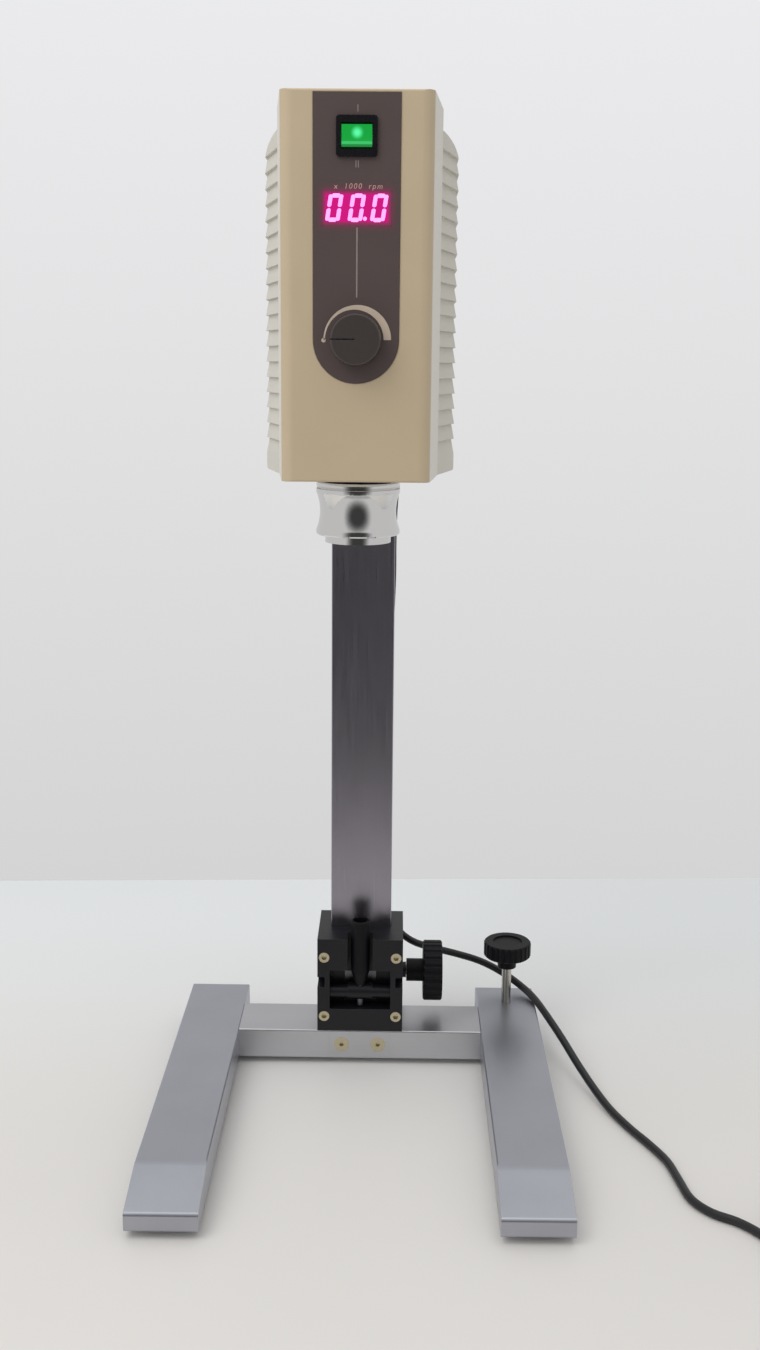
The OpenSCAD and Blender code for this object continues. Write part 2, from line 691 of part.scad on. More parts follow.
module clamp_knob() color("#15151b") translate([hub_x0, clamp_y, clamp_axis_z]) rotate([0, 90, 0])
  fluted_knob(clamp_hub_d, clamp_hub_h, clamp_knob_d, clamp_knob_t, stud_d, clamp_hub_h + clamp_knob_t * 0.5);

// ---- Levelling screw ----

module levelling_foot() color("#1c1c1e") translate([level_x, level_y, 0]) difference() {
  cylinder(h = foot_h, d1 = level_pad_d - 2, d2 = level_pad_d);
  translate([0, 0, foot_h - level_socket]) cylinder(h = level_socket + over, d = level_rod_d + 2 * run_gap);
}

module levelling_rod() color("#9a9ca0") translate([level_x, level_y, foot_h - level_socket])
  cylinder(h = level_hub_z + level_hub_h + level_knob_t * 0.5 - foot_h + level_socket, d = level_rod_d);

module levelling_knob() color("#15151b") translate([level_x, level_y, level_hub_z])
  fluted_knob(level_hub_d, level_hub_h, level_knob_d, level_knob_t, level_rod_d, level_hub_h + level_knob_t * 0.5);

// ---- Column and bracket ----

module column() color("#77777e") difference() {
  translate([0, (column_y0 + column_y1) / 2, column_foot]) linear_extrude(column_top - column_foot)
    polygon(rounded(rect(column_w, column_t), [0.8, 0.8, 0.8, 0.8], 3));
  for (x = [-1, 1] * boss_x, z = bracket_screw_z) {
    rod_y(column_y0 - over, column_t + 2 * over, bracket_screw_d + 2 * screw_gap, x, z);
    rod_y(column_y1 - bracket_screw_head[1], bracket_screw_head[1] + over, bracket_screw_head[0] + 2 * screw_gap, x, z);
  }
}

module head_bracket() color("#6f7278") difference() {
  translate([-boss_x - bracket_margin.x, housing_y1, bracket_screw_z[0] - bracket_margin.y])
    cube([2 * (boss_x + bracket_margin.x), bracket_t, bracket_screw_z[1] - bracket_screw_z[0] + 2 * bracket_margin.y]);
  for (x = [-1, 1] * boss_x, z = bracket_screw_z)
    rod_y(housing_y1 - over, bracket_t + 2 * over, bracket_screw_d + 2 * screw_gap, x, z);
}

module bracket_screws() color("#6f7278") for (x = [-1, 1] * boss_x, z = bracket_screw_z)
  translate([x, column_y1, z]) rotate([-90, 0, 0])
    socket_screw(bracket_screw_head, bracket_screw_d,
                 column_t - bracket_screw_head[1] + bracket_t + wall + housing_boss_len - 2);

// ---- Head shells ----

function cover_plan(inset) = let (y0 = cover_y0 + inset, fw = cover_front_w / 2 - inset, bw = cover_back_w / 2 - inset)
  rounded([[-bw, cover_y1], [-fw, y0], [fw, y0], [bw, cover_y1]], [0, cover_r - inset, cover_r - inset, 0], 8);

module panel_outline(grow) {
  r = panel_w / 2;
  translate([0, knob_axis_z]) circle(r = r + grow, $fn = 96);
  translate([-r - grow, knob_axis_z]) square([2 * (r + grow), panel_top + grow - knob_axis_z]);
}

module front_cover() color("#a8987a") difference() {
  intersection() {
    translate([0, 0, head_bottom]) linear_extrude(cover_h) polygon(cover_plan(0));
    along_x(-cover_back_w, 2 * cover_back_w) polygon(rounded(
      [[cover_y0, head_bottom], [cover_y1, head_bottom], [cover_y1, cover_top], [cover_y0, cover_top]],
      [edge_r, 0, edge_r, edge_r], 4));
  }
  // inside of the shell, with a rear lip above the housing
  intersection() {
    translate([0, 0, head_bottom + wall]) linear_extrude(cover_h - 2 * wall) polygon(cover_plan(wall));
    union() {
      translate([-cover_back_w, cover_y0, 0]) cube([2 * cover_back_w, cover_d - wall, cover_top]);
      translate([-cover_back_w, cover_y0, 0]) cube([2 * cover_back_w, cover_d + over, housing_top - wall]);
    }
  }
  along_y(cover_y0 - over, panel_seat + over) panel_outline(seat_edge);
  // cut-outs for switch, display and potentiometer
  translate([0, 0, switch_axis_z]) along_y(cover_y0 - over, wall + 2 * over) square([switch_body[0] + 0.4, switch_body[1] + 0.4], center = true);
  translate([0, 0, display_axis_z]) along_y(cover_y0 - over, wall + 2 * over) square([window_lens_w - 2, window_lens_h - 2], center = true);
  rod_y(cover_y0 - over, wall + 2 * over, pot_bush_d + 0.2, 0, knob_axis_z);
  translate([0, spindle_y, head_bottom - over]) cylinder(h = wall + 2 * over, d = neck_d + 0.2);
  for (x = [-1, 1] * tab_x) translate([x, cover_y1 - tab[1] / 2, head_bottom]) {
    translate([0, 0, -over]) cylinder(h = wall + 2 * over, d = cover_screw_d + 2 * screw_gap);
    cylinder(h = (cover_screw_head - cover_screw_d) / 2, d1 = cover_screw_head, d2 = cover_screw_d);
  }
}

module cover_screws() color("#6f7278") for (x = [-1, 1] * tab_x)
  translate([x, cover_y1 - tab[1] / 2, head_bottom]) mirror([0, 0, 1])
    flat_screw(cover_screw_head, cover_screw_d, wall + tab[2] - 1);

function housing_plan(inset) = let (fw = cover_back_w / 2 - inset, w = housing_w / 2 - inset, y1 = housing_y1 - inset)
  rounded([[-fw, cover_y1], [fw, cover_y1], [w, cover_y1 + flare_d], [w, y1], [-w, y1], [-w, cover_y1 + flare_d]],
          [0, 0, 0, housing_r - inset, housing_r - inset, 0], 8);

// Saw-tooth cutter for one flank: u is the distance outside the flank's face
function louvre_profile() = [
  [8, head_bottom + rib_start],
  for (i = [0:rib_count - 1]) each [
    [0, head_bottom + rib_start + i * rib_pitch + 0.01],
    [-rib_depth, head_bottom + rib_start + (i + 1) * rib_pitch]],
  [8, head_bottom + rib_start + rib_count * rib_pitch]];

module louvre_cutter(a, b) {
  along = unit(b - a);
  angle = atan2(along.y, along.x);
  reach = 30;
  translate([a.x, a.y, 0]) rotate(angle - 90) translate([0, -reach, 0])
    translate([0, norm(b - a) + 2 * reach, 0]) rotate([90, 0, 0])
      linear_extrude(norm(b - a) + 2 * reach) polygon(louvre_profile());
}

module rear_housing() color("#b5ad9f") difference() {
  union() {
    difference() {
      intersection() {
        translate([0, 0, head_bottom]) linear_extrude(housing_h) polygon(housing_plan(0));
        along_y(cover_y1, housing_y1 - cover_y1) polygon(rounded(
          [[-housing_w / 2, head_bottom], [housing_w / 2, head_bottom], [housing_w / 2, housing_top], [-housing_w / 2, housing_top]],
          [edge_r, edge_r, housing_r, housing_r], 8));
      }
      for (side = [-1, 1]) {
        a = [cover_back_w / 2, cover_y1];
        b = [housing_w / 2, cover_y1 + flare_d];
        c = [housing_w / 2, housing_y1 - housing_r];
        if (side > 0) { louvre_cutter(a, b); louvre_cutter(b, c); }
        else mirror([1, 0, 0]) { louvre_cutter(a, b); louvre_cutter(b, c); }
      }
      inner_z = head_bottom + wall;
      intersection() {
        translate([0, 0, inner_z]) linear_extrude(housing_h - 2 * wall) polygon(housing_plan(wall + rib_depth));
        along_y(cover_y1 - over, housing_y1 - cover_y1) polygon(rounded(
          [[-housing_w / 2 + wall, inner_z], [housing_w / 2 - wall, inner_z],
           [housing_w / 2 - wall, housing_top - wall], [-housing_w / 2 + wall, housing_top - wall]],
          [0, 0, housing_r - wall, housing_r - wall], 8));
      }
      translate([-cover_back_w / 2 + wall + 2, cover_y1 - over, inner_z])
        cube([cover_back_w - 2 * wall - 4, 2 * over + 4, housing_h - 2 * wall - housing_r / 2]);
      translate([0, spindle_y, head_bottom - over]) cylinder(h = wall + 2 * over, d = neck_d + 0.2);
    }
    inner_back = housing_y1 - wall - rib_depth;
    for (x = [-1, 1] * boss_x, z = bracket_screw_z)
      rod_y(inner_back - housing_boss_len, housing_boss_len + over, housing_boss_d, x, z);
    for (x = [-1, 1] * board_post_x, z = board_post_z)
      rod_y(board_y1, inner_back - board_y1 + over, board_post[0], x, z);
    // tabs that reach into the front cover
    for (x = [-1, 1] * tab_x) translate([x - tab[0] / 2, cover_y1 - tab[1], head_bottom + wall])
      cube([tab[0], tab[1] + wall + rib_depth, tab[2]]);
  }
  for (x = [-1, 1] * boss_x, z = bracket_screw_z)
    rod_y(housing_y1 - wall - housing_boss_len, wall + housing_boss_len + over, bracket_screw_d + 2 * screw_gap, x, z);
  for (x = [-1, 1] * tab_x) translate([x, cover_y1 - tab[1] / 2, head_bottom])
    cylinder(h = wall + tab[2] + over, d = cover_screw_d + 2 * screw_gap);
  rod_y(housing_y1 - wall - rib_depth - over, wall + rib_depth + 2 * over, gland_root_d - 2, gland_x, gland_z);
}

// ---- Controls ----

module control_panel() color("#54494a") difference() {
  along_y(panel_front, panel_t) panel_outline(0);
  translate([0, 0, switch_axis_z]) along_y(panel_front - over, panel_t + 2 * over) square([switch_body[0] + 0.4, switch_body[1] + 0.4], center = true);
  translate([0, 0, display_axis_z]) along_y(panel_front - over, panel_t + 2 * over)
    square([window_lens_w + 2 * lens_edge, window_lens_h + 2 * lens_edge], center = true);
  rod_y(panel_front - over, panel_t + 2 * over, pot_bush_d + 0.2, 0, knob_axis_z);
}

module switch_bezel() color("#3a3537") translate([0, 0, switch_axis_z]) difference() {
  union() {
    along_y(bezel_front, bezel_t) polygon(rounded(rect(bezel_w, bezel_h), [2, 2, 2, 2], 5));
    along_y(bezel_front + bezel_t, switch_body[2] - bezel_t) square([switch_body[0], switch_body[1]], center = true);
  }
  along_y(bezel_front - over, rocker_depth + 5 + over)
    square([rocker_w + 2 * rocker_side, rocker_h + 2 * rocker_swing], center = true);
  rod_x(-switch_body[0] / 2 + 0.4, switch_body[0] - 0.8, rocker_pin_d + 2 * run_gap, rocker_pin_y, 0);
}

module rocker() color("#3fbf5a") translate([0, 0, switch_axis_z]) {
  h = rocker_h / 2;
  face = bezel_front - 0.8;
  along_x(-rocker_w / 2, rocker_w) polygon([
    [face, -h], [face + rocker_dish, 0], [face, h], [face + 1.5, h], [face + rocker_depth, h - 2.4],
    [face + rocker_depth, -h + 2.4], [face + 1.5, -h]]);
  rod_x(-switch_body[0] / 2 + 0.6, switch_body[0] - 1.2, rocker_pin_d, rocker_pin_y, 0);
}

module display_window() color("#3a1f2c") translate([0, 0, display_axis_z]) along_y(panel_front, panel_t)
  square([window_lens_w, window_lens_h], center = true);

module display_module() color("#2b2b2b") translate([0, 0, display_axis_z])
  along_y(panel_front + panel_t, 9) square([window_lens_w - 3, window_lens_h - 3], center = true);

module speed_potentiometer() color("#7d8288") difference() {
  union() {
    rod_y(cover_y0 + wall, pot_t, pot_d, 0, knob_axis_z);
    rod_y(panel_front - 0.6, cover_y0 + wall - panel_front + 0.6, pot_bush_d, 0, knob_axis_z);
  }
  rod_y(panel_front - over, pot_t + wall - 1, knob_shaft_d + 2 * run_gap, 0, knob_axis_z);
}

module knob_shaft() color("#9a9ca0")
  rod_y(knob_base - knob_h + 4, panel_front - knob_base + knob_h - 4 + pot_t * 0.6, knob_shaft_d, 0, knob_axis_z);

module speed_knob() color("#4a4546") translate([0, knob_base, knob_axis_z]) rotate([90, 0, 0]) difference() {
  rotate_extrude($fn = 96) polygon(rounded(
    [[0, 0], [knob_d / 2, 0], [knob_d / 2 - 0.5, knob_h], [0, knob_h]], [0, 0.4, 1.2, 0], 5));
  translate([0, 0, -over]) cylinder(h = knob_h - 4 + over, d = knob_shaft_d);
  translate([0, 0, -over]) cylinder(h = 1.4 + over, d = pot_bush_d + 3);
  // pointer groove, from the middle to the left edge
  translate([-knob_d / 2 - over, -0.45, knob_h - 0.5]) cube([knob_d / 2 + over, 0.9, 0.5 + over]);
}

// ---- Drive ----

module at_spindle(z) translate([0, spindle_y, z]) children();

module spindle_seat() color("#2d2b2e") difference() {
  union() {
    at_spindle(neck_z0) cylinder(h = neck_h + wall, d = neck_d);
    at_spindle(ring_z0) cylinder(h = neck_z0 - ring_z0, d = spigot_d);
    at_spindle(flange_z0) cylinder(h = flange_t, d = flange_d);
  }
  at_spindle(ring_z0 - over) cylinder(h = seat_bore_len + over, d = seat_bore_d);
  at_spindle(ring_z0 + seat_bore_len) cylinder(h = neck_z0 + 2 - ring_z0 - seat_bore_len, d = relief_d);
  at_spindle(ring_z0) cylinder(h = head_bottom + flange_t + wall - ring_z0 + over, d = motor_shaft_d + 4);
  at_spindle(flange_z0 + flange_t - bearing_h) cylinder(h = bearing_h + over, d = bearing_d);
}

module retaining_ring() color("#c9cbce") at_spindle(ring_z0) difference() {
  cylinder(h = ring_h, d = ring_d);
  translate([0, 0, -over]) cylinder(h = ring_h + 2 * over, d = spigot_d);
}

module coupling_nut() color("#d6d8da") at_spindle(nut_z0) {
  r = nut_d / 2;
  waist = nut_waist_d / 2;
  rim = 3.2;
  bore = spigot_d / 2 + run_gap * 2;
  sag = r - waist;
  half = nut_h / 2 - rim;
  arc_r = (half * half + sag * sag) / (2 * sag);
  span = asin(half / arc_r);
  rotate_extrude($fn = 96) polygon([
    [bore, 0], [r - 1, 0], [r, 1], [r, rim],
    for (i = [0:12]) let (a = -span + 2 * span * i / 12) [waist + arc_r - arc_r * cos(a), nut_h / 2 + arc_r * sin(a)],
    [r, nut_h - rim], [r, nut_h - 1], [r - 1, nut_h], [bore, nut_h]]);
}

module motor_frame() color("#8d9095") {
  at_spindle(frame_z0) difference() {
    cylinder(h = frame_t, d = frame_d);
    translate([0, 0, -over]) cylinder(h = frame_t + 2 * over, d = bearing_d - 6);
  }
  for (i = [0:3]) at_spindle(frame_z0 + frame_t) rotate(45 + 90 * i)
    translate([stator_d / 2, 0, -0.5]) cylinder(h = stator_z0 - frame_z0 - frame_t + 0.5, d = post_d);
}

module stator() color("#7a6a58") at_spindle(stator_z0) difference() {
  cylinder(h = stator_h, d = stator_d);
  translate([0, 0, -over]) cylinder(h = stator_h + 2 * over, d = armature_d + 2);
}

module end_shield() color("#8d9095") at_spindle(stator_z1) difference() {
  cylinder(h = shield_h, d = stator_d);
  translate([0, 0, -over]) cylinder(h = shield_h - bearing_h - 2 + over, d = stator_d - 8);
  translate([0, 0, shield_h - bearing_h]) cylinder(h = bearing_h + over, d = bearing_d);
  cylinder(h = shield_h, d = bearing_d - 6);
}

module bearing(z) at_spindle(z) difference() {
  cylinder(h = bearing_h, d = bearing_d);
  translate([0, 0, -over]) cylinder(h = bearing_h + 2 * over, d = motor_shaft_d + 2 * run_gap);
}

module lower_bearing() color("#b9bcc0") bearing(flange_z0 + flange_t - bearing_h);

module upper_bearing() color("#b9bcc0") bearing(upper_bearing_z0);

module brush_holders() color("#b59a5a") for (side = [-1, 1])
  at_spindle(commutator_z0 + commutator_h / 2 - brush[2] / 2)
    translate([side > 0 ? commutator_d / 2 + part_gap : -stator_d / 2 + 4.2, -brush[1] / 2, 0])
      cube([stator_d / 2 - 4.2 - commutator_d / 2 - part_gap, brush[1], brush[2]]);

module motor_shaft() color("#9a9ca0") at_spindle(shaft_z0) cylinder(h = shaft_z1 - shaft_z0, d = motor_shaft_d);

module armature() color("#7c4a2c") {
  at_spindle(stator_z0) difference() {
    cylinder(h = stator_h, d = armature_d);
    translate([0, 0, -over]) cylinder(h = stator_h + 2 * over, d = motor_shaft_d);
  }
  at_spindle(stator_z1) difference() {
    cylinder(h = commutator_z0 - stator_z1 + commutator_h, d = commutator_d);
    translate([0, 0, -over]) cylinder(h = 2 * shield_h, d = motor_shaft_d);
  }
}

module cooling_fan() color("#2b2b2b") at_spindle(fan_z0) difference() {
  union() {
    cylinder(h = 2, d = fan_d);
    cylinder(h = fan_h, d = motor_shaft_d + 10);
    for (i = [0:8]) rotate(i * 40) translate([motor_shaft_d / 2 + 3, -1, 1])
      cube([fan_d / 2 - motor_shaft_d / 2 - 5, 2, fan_h - 1]);
  }
  translate([0, 0, -over]) cylinder(h = fan_h + 2 * over, d = motor_shaft_d);
}

module drive_dog() color("#b9bcc0") at_spindle(neck_z0 - dog_len) difference() {
  cylinder(h = dog_len, d = dog_d);
  translate([0, 0, dog_len / 2]) cylinder(h = dog_len, d = motor_shaft_d);
  translate([-dog_d, -2, -over]) cube([2 * dog_d, 4, dog_len / 2 - 1 + over]);
}

module circuit_board() color("#2f6b45") {
  parts_y = board_y1 - board_t;
  board_z0 = board_post_z[0] - board_margin.y;
  translate([-board_post_x - board_margin.x, parts_y, board_z0])
    cube([2 * (board_post_x + board_margin.x), board_t, board_post_z[1] + board_margin.y - board_z0]);
  translate([-heat_sink.x - 4, parts_y - heat_sink.y, board_z0 + 20]) cube(heat_sink + [0, solder, 0]);
  translate([6, parts_y - transformer.y, board_z0 + 30]) cube(transformer + [0, solder, 0]);
  for (k = [0:2])
    rod_y(parts_y - capacitor[1], capacitor[1] + solder, capacitor[0], -20, board_z0 + 80 + k * capacitor_pitch);
}

// ---- Mains lead ----

module cord_gland() color("#1a1a1c") {
  difference() {
    rod_y(housing_y1 - wall - rib_depth - 4, wall + rib_depth + 5, gland_root_d - 2, gland_x, gland_z);
    rod_y(housing_y1 - wall - rib_depth - 5, wall + rib_depth, cord_d, gland_x, gland_z);
  }
  translate([gland_x, housing_y1, gland_z]) rotate([-90, 0, 0]) {
    cylinder(h = 3, d = gland_root_d);
    translate([0, 0, 2.9]) cylinder(h = relief_len - 2.9, d1 = gland_root_d - 2.4, d2 = gland_tip_d);
  }
}

module mains_cord() color("#1a1a1c") {
  rings = route_rings(cord_route, cord_steps);
  last = len(rings) - 1;
  guide = [1, 1, 1];  // never parallel to the lead
  points = [for (i = [0:last])
    let (t = unit(rings[min(i + 1, last)] - rings[max(i - 1, 0)]), n = unit(cross(t, guide)), b = cross(t, n))
    for (k = [0:cord_sides - 1]) rings[i] + cord_r * (cos(k * 360 / cord_sides) * n + sin(k * 360 / cord_sides) * b)];
  skin = [for (i = [0:last - 1], k = [0:cord_sides - 1])
    let (a = i * cord_sides + k, b = i * cord_sides + (k + 1) % cord_sides)
    each [[a, b, b + cord_sides], [a, b + cord_sides, a + cord_sides]]];
  caps = [[for (k = [cord_sides - 1:-1:0]) k], [for (k = [0:cord_sides - 1]) last * cord_sides + k]];
  polyhedron(points, concat(skin, caps));
}

module cord_coil() color("#1a1a1c") translate([coil_centre.x, coil_centre.y, 0]) rotate_extrude()
  polygon(rounded([[coil_r_in, 0], [coil_r_out, 0], [coil_r_out, coil_h], [coil_r_in, coil_h]],
                  [coil_edge, coil_edge, coil_edge, coil_edge], 4));

module plug() color("#1a1a1c") translate([plug_x, 0, plug_axis_z]) {
  translate([0, plug_y[0], 0]) rotate([-90, 0, 0]) cylinder(h = plug_y[1] - plug_y[0], d1 = gland_tip_d, d2 = 12);
  along_y(plug_y[1], plug_y[2] - plug_y[1]) polygon(rounded(rect(plug_size[0], plug_size[1]), [4, 4, 7, 7], 6));
  for (x = [-1, 1] * blade_pitch / 2)
    translate([x - blade[0] / 2, plug_y[2] - 0.5, 1 - blade[1] / 2]) cube([blade[0], blade[2] + 0.5, blade[1]]);
  rod_y(plug_y[2] - 0.5, blade[2] + 1.5, 4.8, 0, -7);
}

left_leg();
right_leg();
cross_bar();
column_key();
key_screws();
leg_bolts();
rubber_feet();
levelling_bush();
guide_block();
block_bolts();
front_plate();
plate_screws();
cam_shaft();
lever_rod();
lever_grip();
clamp_shoe();
clamp_pad();
clamp_stud();
clamp_knob();
levelling_foot();
levelling_rod();
levelling_knob();
column();
head_bracket();
bracket_screws();
front_cover();
cover_screws();
rear_housing();
control_panel();
switch_bezel();
rocker();
display_window();
display_module();
speed_potentiometer();
knob_shaft();
speed_knob();
spindle_seat();
retaining_ring();
coupling_nut();
motor_frame();
stator();
end_shield();
lower_bearing();
upper_bearing();
brush_holders();
motor_shaft();
armature();
cooling_fan();
drive_dog();
circuit_board();
cord_gland();
mains_cord();
cord_coil();
plug();
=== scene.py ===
"""Rotor stator homogenizer on its stand: finishes, controls, mains lead, studio and camera.

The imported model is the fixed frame. Everything here is placed in its axes, +X right, +Y to the
rear and +Z up. Sizes are written in millimetres and turned to metres where a mesh is made.
"""

import logging
import math
from dataclasses import dataclass, field
from enum import Enum
from typing import Any, Iterable, Sequence

import bmesh
import bpy
from mathutils import Matrix, Vector

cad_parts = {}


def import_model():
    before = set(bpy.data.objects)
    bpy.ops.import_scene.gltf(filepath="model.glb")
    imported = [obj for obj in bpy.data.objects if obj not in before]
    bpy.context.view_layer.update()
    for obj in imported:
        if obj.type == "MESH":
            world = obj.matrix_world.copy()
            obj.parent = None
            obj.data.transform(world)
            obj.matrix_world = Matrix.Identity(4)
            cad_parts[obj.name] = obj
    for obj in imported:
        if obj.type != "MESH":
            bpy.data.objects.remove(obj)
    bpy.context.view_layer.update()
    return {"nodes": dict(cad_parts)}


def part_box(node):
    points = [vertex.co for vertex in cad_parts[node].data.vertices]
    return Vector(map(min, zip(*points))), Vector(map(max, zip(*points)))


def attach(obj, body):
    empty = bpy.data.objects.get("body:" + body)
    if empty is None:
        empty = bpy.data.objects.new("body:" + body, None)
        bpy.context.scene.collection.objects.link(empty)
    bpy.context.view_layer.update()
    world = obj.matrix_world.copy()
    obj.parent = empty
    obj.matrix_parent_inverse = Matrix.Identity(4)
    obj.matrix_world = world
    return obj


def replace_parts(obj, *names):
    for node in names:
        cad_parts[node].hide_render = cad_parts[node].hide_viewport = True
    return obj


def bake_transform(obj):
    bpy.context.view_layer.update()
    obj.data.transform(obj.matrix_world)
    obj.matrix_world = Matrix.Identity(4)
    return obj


LOG = logging.getLogger("homogenizer")
Point = tuple[float, float, float]
Tree = bpy.types.NodeTree
Socket = bpy.types.NodeSocket


class Axis(Enum):
    """The direction along which a bar was drawn or brushed, as an index."""

    X = 0
    Y = 1
    Z = 2


def mm(*values: float) -> Vector:
    """Returns a point given in millimetres as a vector in metres."""
    return Vector(values) * 0.001


def per_mm(size: float) -> float:
    """Returns the pattern scale whose repeat on Object coordinates is size millimetres."""
    return 1000.0 / size


def linear(code: str) -> tuple[float, float, float, float]:
    """Turns an sRGB hex colour into linear red, green, blue and alpha."""
    parts = [int(code[i : i + 2], 16) / 255 for i in (1, 3, 5)]
    red, green, blue = (p / 12.92 if p <= 0.04045 else ((p + 0.055) / 1.055) ** 2.4 for p in parts)
    return (red, green, blue, 1.0)


def add_node(
    tree: Tree,
    kind: str,
    settings: dict[Any, Any] | None = None,
    links: dict[Any, Socket] | None = None,
) -> bpy.types.Node:
    """Adds a shader node.

    Args:
        tree: The node tree that gets it.
        kind: The node's type name.
        settings: Socket values by socket name or index, and node properties by name.
        links: The output that feeds each named or numbered input.

    Returns:
        The new node.
    """
    node = tree.nodes.new(kind)
    for name, value in (settings or {}).items():
        if isinstance(name, int) or name in node.inputs:
            node.inputs[name].default_value = value
        else:
            setattr(node, name, value)
    for name, source in (links or {}).items():
        tree.links.new(source, node.inputs[name])
    return node


# ---- Finishes ----


@dataclass(frozen=True)
class Finish:
    """A finish on a real material: its colour, gloss and how soft its edges are.

    edge_mm is the radius that the light finds on a sharp edge. drift is the share by which
    the colour wanders over drift_mm.
    """

    name: str
    colour: str
    roughness: float
    metallic: float = 0.0
    ior: float = 1.5
    specular: float = 0.5
    edge_mm: float = 0.35
    drift: float = 0.03
    drift_mm: float = 40.0

    def material(self) -> bpy.types.Material:
        """Returns the finish's material, made on first use."""
        found = bpy.data.materials.get(self.name)
        return found if found else self.build()

    def build(self) -> bpy.types.Material:
        """Makes the material with its shader and hands both to the pattern."""
        material = bpy.data.materials.new(self.name)
        material.use_nodes = True
        material.diffuse_color = linear(self.colour)
        tree = material.node_tree
        tree.nodes.clear()
        place = add_node(tree, "ShaderNodeTexCoord").outputs["Object"]
        values = {"Base Color": linear(self.colour), "Roughness": self.roughness, "Metallic": self.metallic}
        if not self.metallic:
            values |= {"IOR": self.ior, "Specular IOR Level": self.specular}
        shader = add_node(tree, "ShaderNodeBsdfPrincipled", values)
        self.pattern(tree, place, shader)
        add_node(tree, "ShaderNodeOutputMaterial", None, {"Surface": shader.outputs["BSDF"]})
        return material

    def tinted(self, tree: Tree, place: Socket) -> Socket:
        """Returns the colour with its slow drift over the surface."""
        noise = add_node(
            tree, "ShaderNodeTexNoise", {"Scale": per_mm(self.drift_mm), "Detail": 3.0}, {"Vector": place}
        )
        share = self.spread(tree, noise.outputs["Fac"], 1.0, self.drift)
        scaled = add_node(tree, "ShaderNodeVectorMath", {"operation": "SCALE", 0: linear(self.colour)[:3]},
                          {"Scale": share})
        return scaled.outputs["Vector"]

    def spread(
        self, tree: Tree, value: Socket, middle: float, reach: float
    ) -> Socket:
        """Returns a pattern's value laid out between middle - reach and middle + reach."""
        limits = {"From Min": 0.3, "From Max": 0.7, "To Min": middle - reach, "To Max": middle + reach}
        return add_node(tree, "ShaderNodeMapRange", limits, {"Value": value}).outputs["Result"]

    def relief(
        self, tree: Tree, shader: bpy.types.Node, height: Socket, depth_mm: float
    ) -> Socket:
        """Rounds the edges to the eye and lays a fine relief over them.

        Args:
            tree: The node tree.
            shader: The shader that takes the normal.
            height: The relief's height, from 0 to 1.
            depth_mm: The relief's depth.

        Returns:
            The rounded normal, without the relief.
        """
        soft = add_node(tree, "ShaderNodeBevel", {"samples": 4, "Radius": self.edge_mm * 0.001})
        bump = add_node(tree, "ShaderNodeBump", {"Strength": 1.0, "Distance": depth_mm * 0.001},
                        {"Height": height, "Normal": soft.outputs["Normal"]})
        tree.links.new(bump.outputs["Normal"], shader.inputs["Normal"])
        return soft.outputs["Normal"]

    def pattern(self, tree: Tree, place: Socket, shader: bpy.types.Node) -> None:
        """Gives the surface its drift of colour alone; kinds of finish add their own texture."""
        tree.links.new(self.tinted(tree, place), shader.inputs["Base Color"])


@dataclass(frozen=True)
class Grained(Finish):
    """An even grain, as of a spark-eroded mould, a blasted metal or rubber.

    The last two fields set how far every edge pales and towards which colour; on the knob that paleness is a
    painted highlight along its rim.
    """

    grain_mm: float = 0.6
    grain_depth_mm: float = 0.02
    gloss_spread: float = 0.08
    edge_wear_and_highlight: float = 0.0
    edge_wear_and_highlight_colour: str = "#8f9096"

    def pattern(self, tree: Tree, place: Socket, shader: bpy.types.Node) -> None:
        """Lays the grain in gloss and relief, and pales the edges."""
        grain = add_node(
            tree, "ShaderNodeTexNoise", {"Scale": per_mm(self.grain_mm), "Detail": 2.0}, {"Vector": place}
        ).outputs["Fac"]
        gloss = self.spread(tree, grain, self.roughness, self.gloss_spread)
        tree.links.new(gloss, shader.inputs["Roughness"])
        soft = self.relief(tree, shader, grain, self.grain_depth_mm)
        colour = self.tinted(tree, place)
        # Pales every edge; on the knob this is a painted highlight.
        if self.edge_wear_and_highlight:
            flat = add_node(tree, "ShaderNodeNewGeometry").outputs["True Normal"]
            turn = add_node(tree, "ShaderNodeVectorMath", {"operation": "DOT_PRODUCT"}, {0: soft, 1: flat})
            edge = add_node(tree, "ShaderNodeMapRange",
                            {"From Min": 0.995, "From Max": 0.85, "To Min": 0.0, "To Max": self.edge_wear_and_highlight},
                            {"Value": turn.outputs["Value"]})
            paled_edges = add_node(tree, "ShaderNodeMixRGB", {2: linear(self.edge_wear_and_highlight_colour)},
                            {0: edge.outputs["Result"], 1: colour})
            colour = paled_edges.outputs["Color"]
        tree.links.new(colour, shader.inputs["Base Color"])


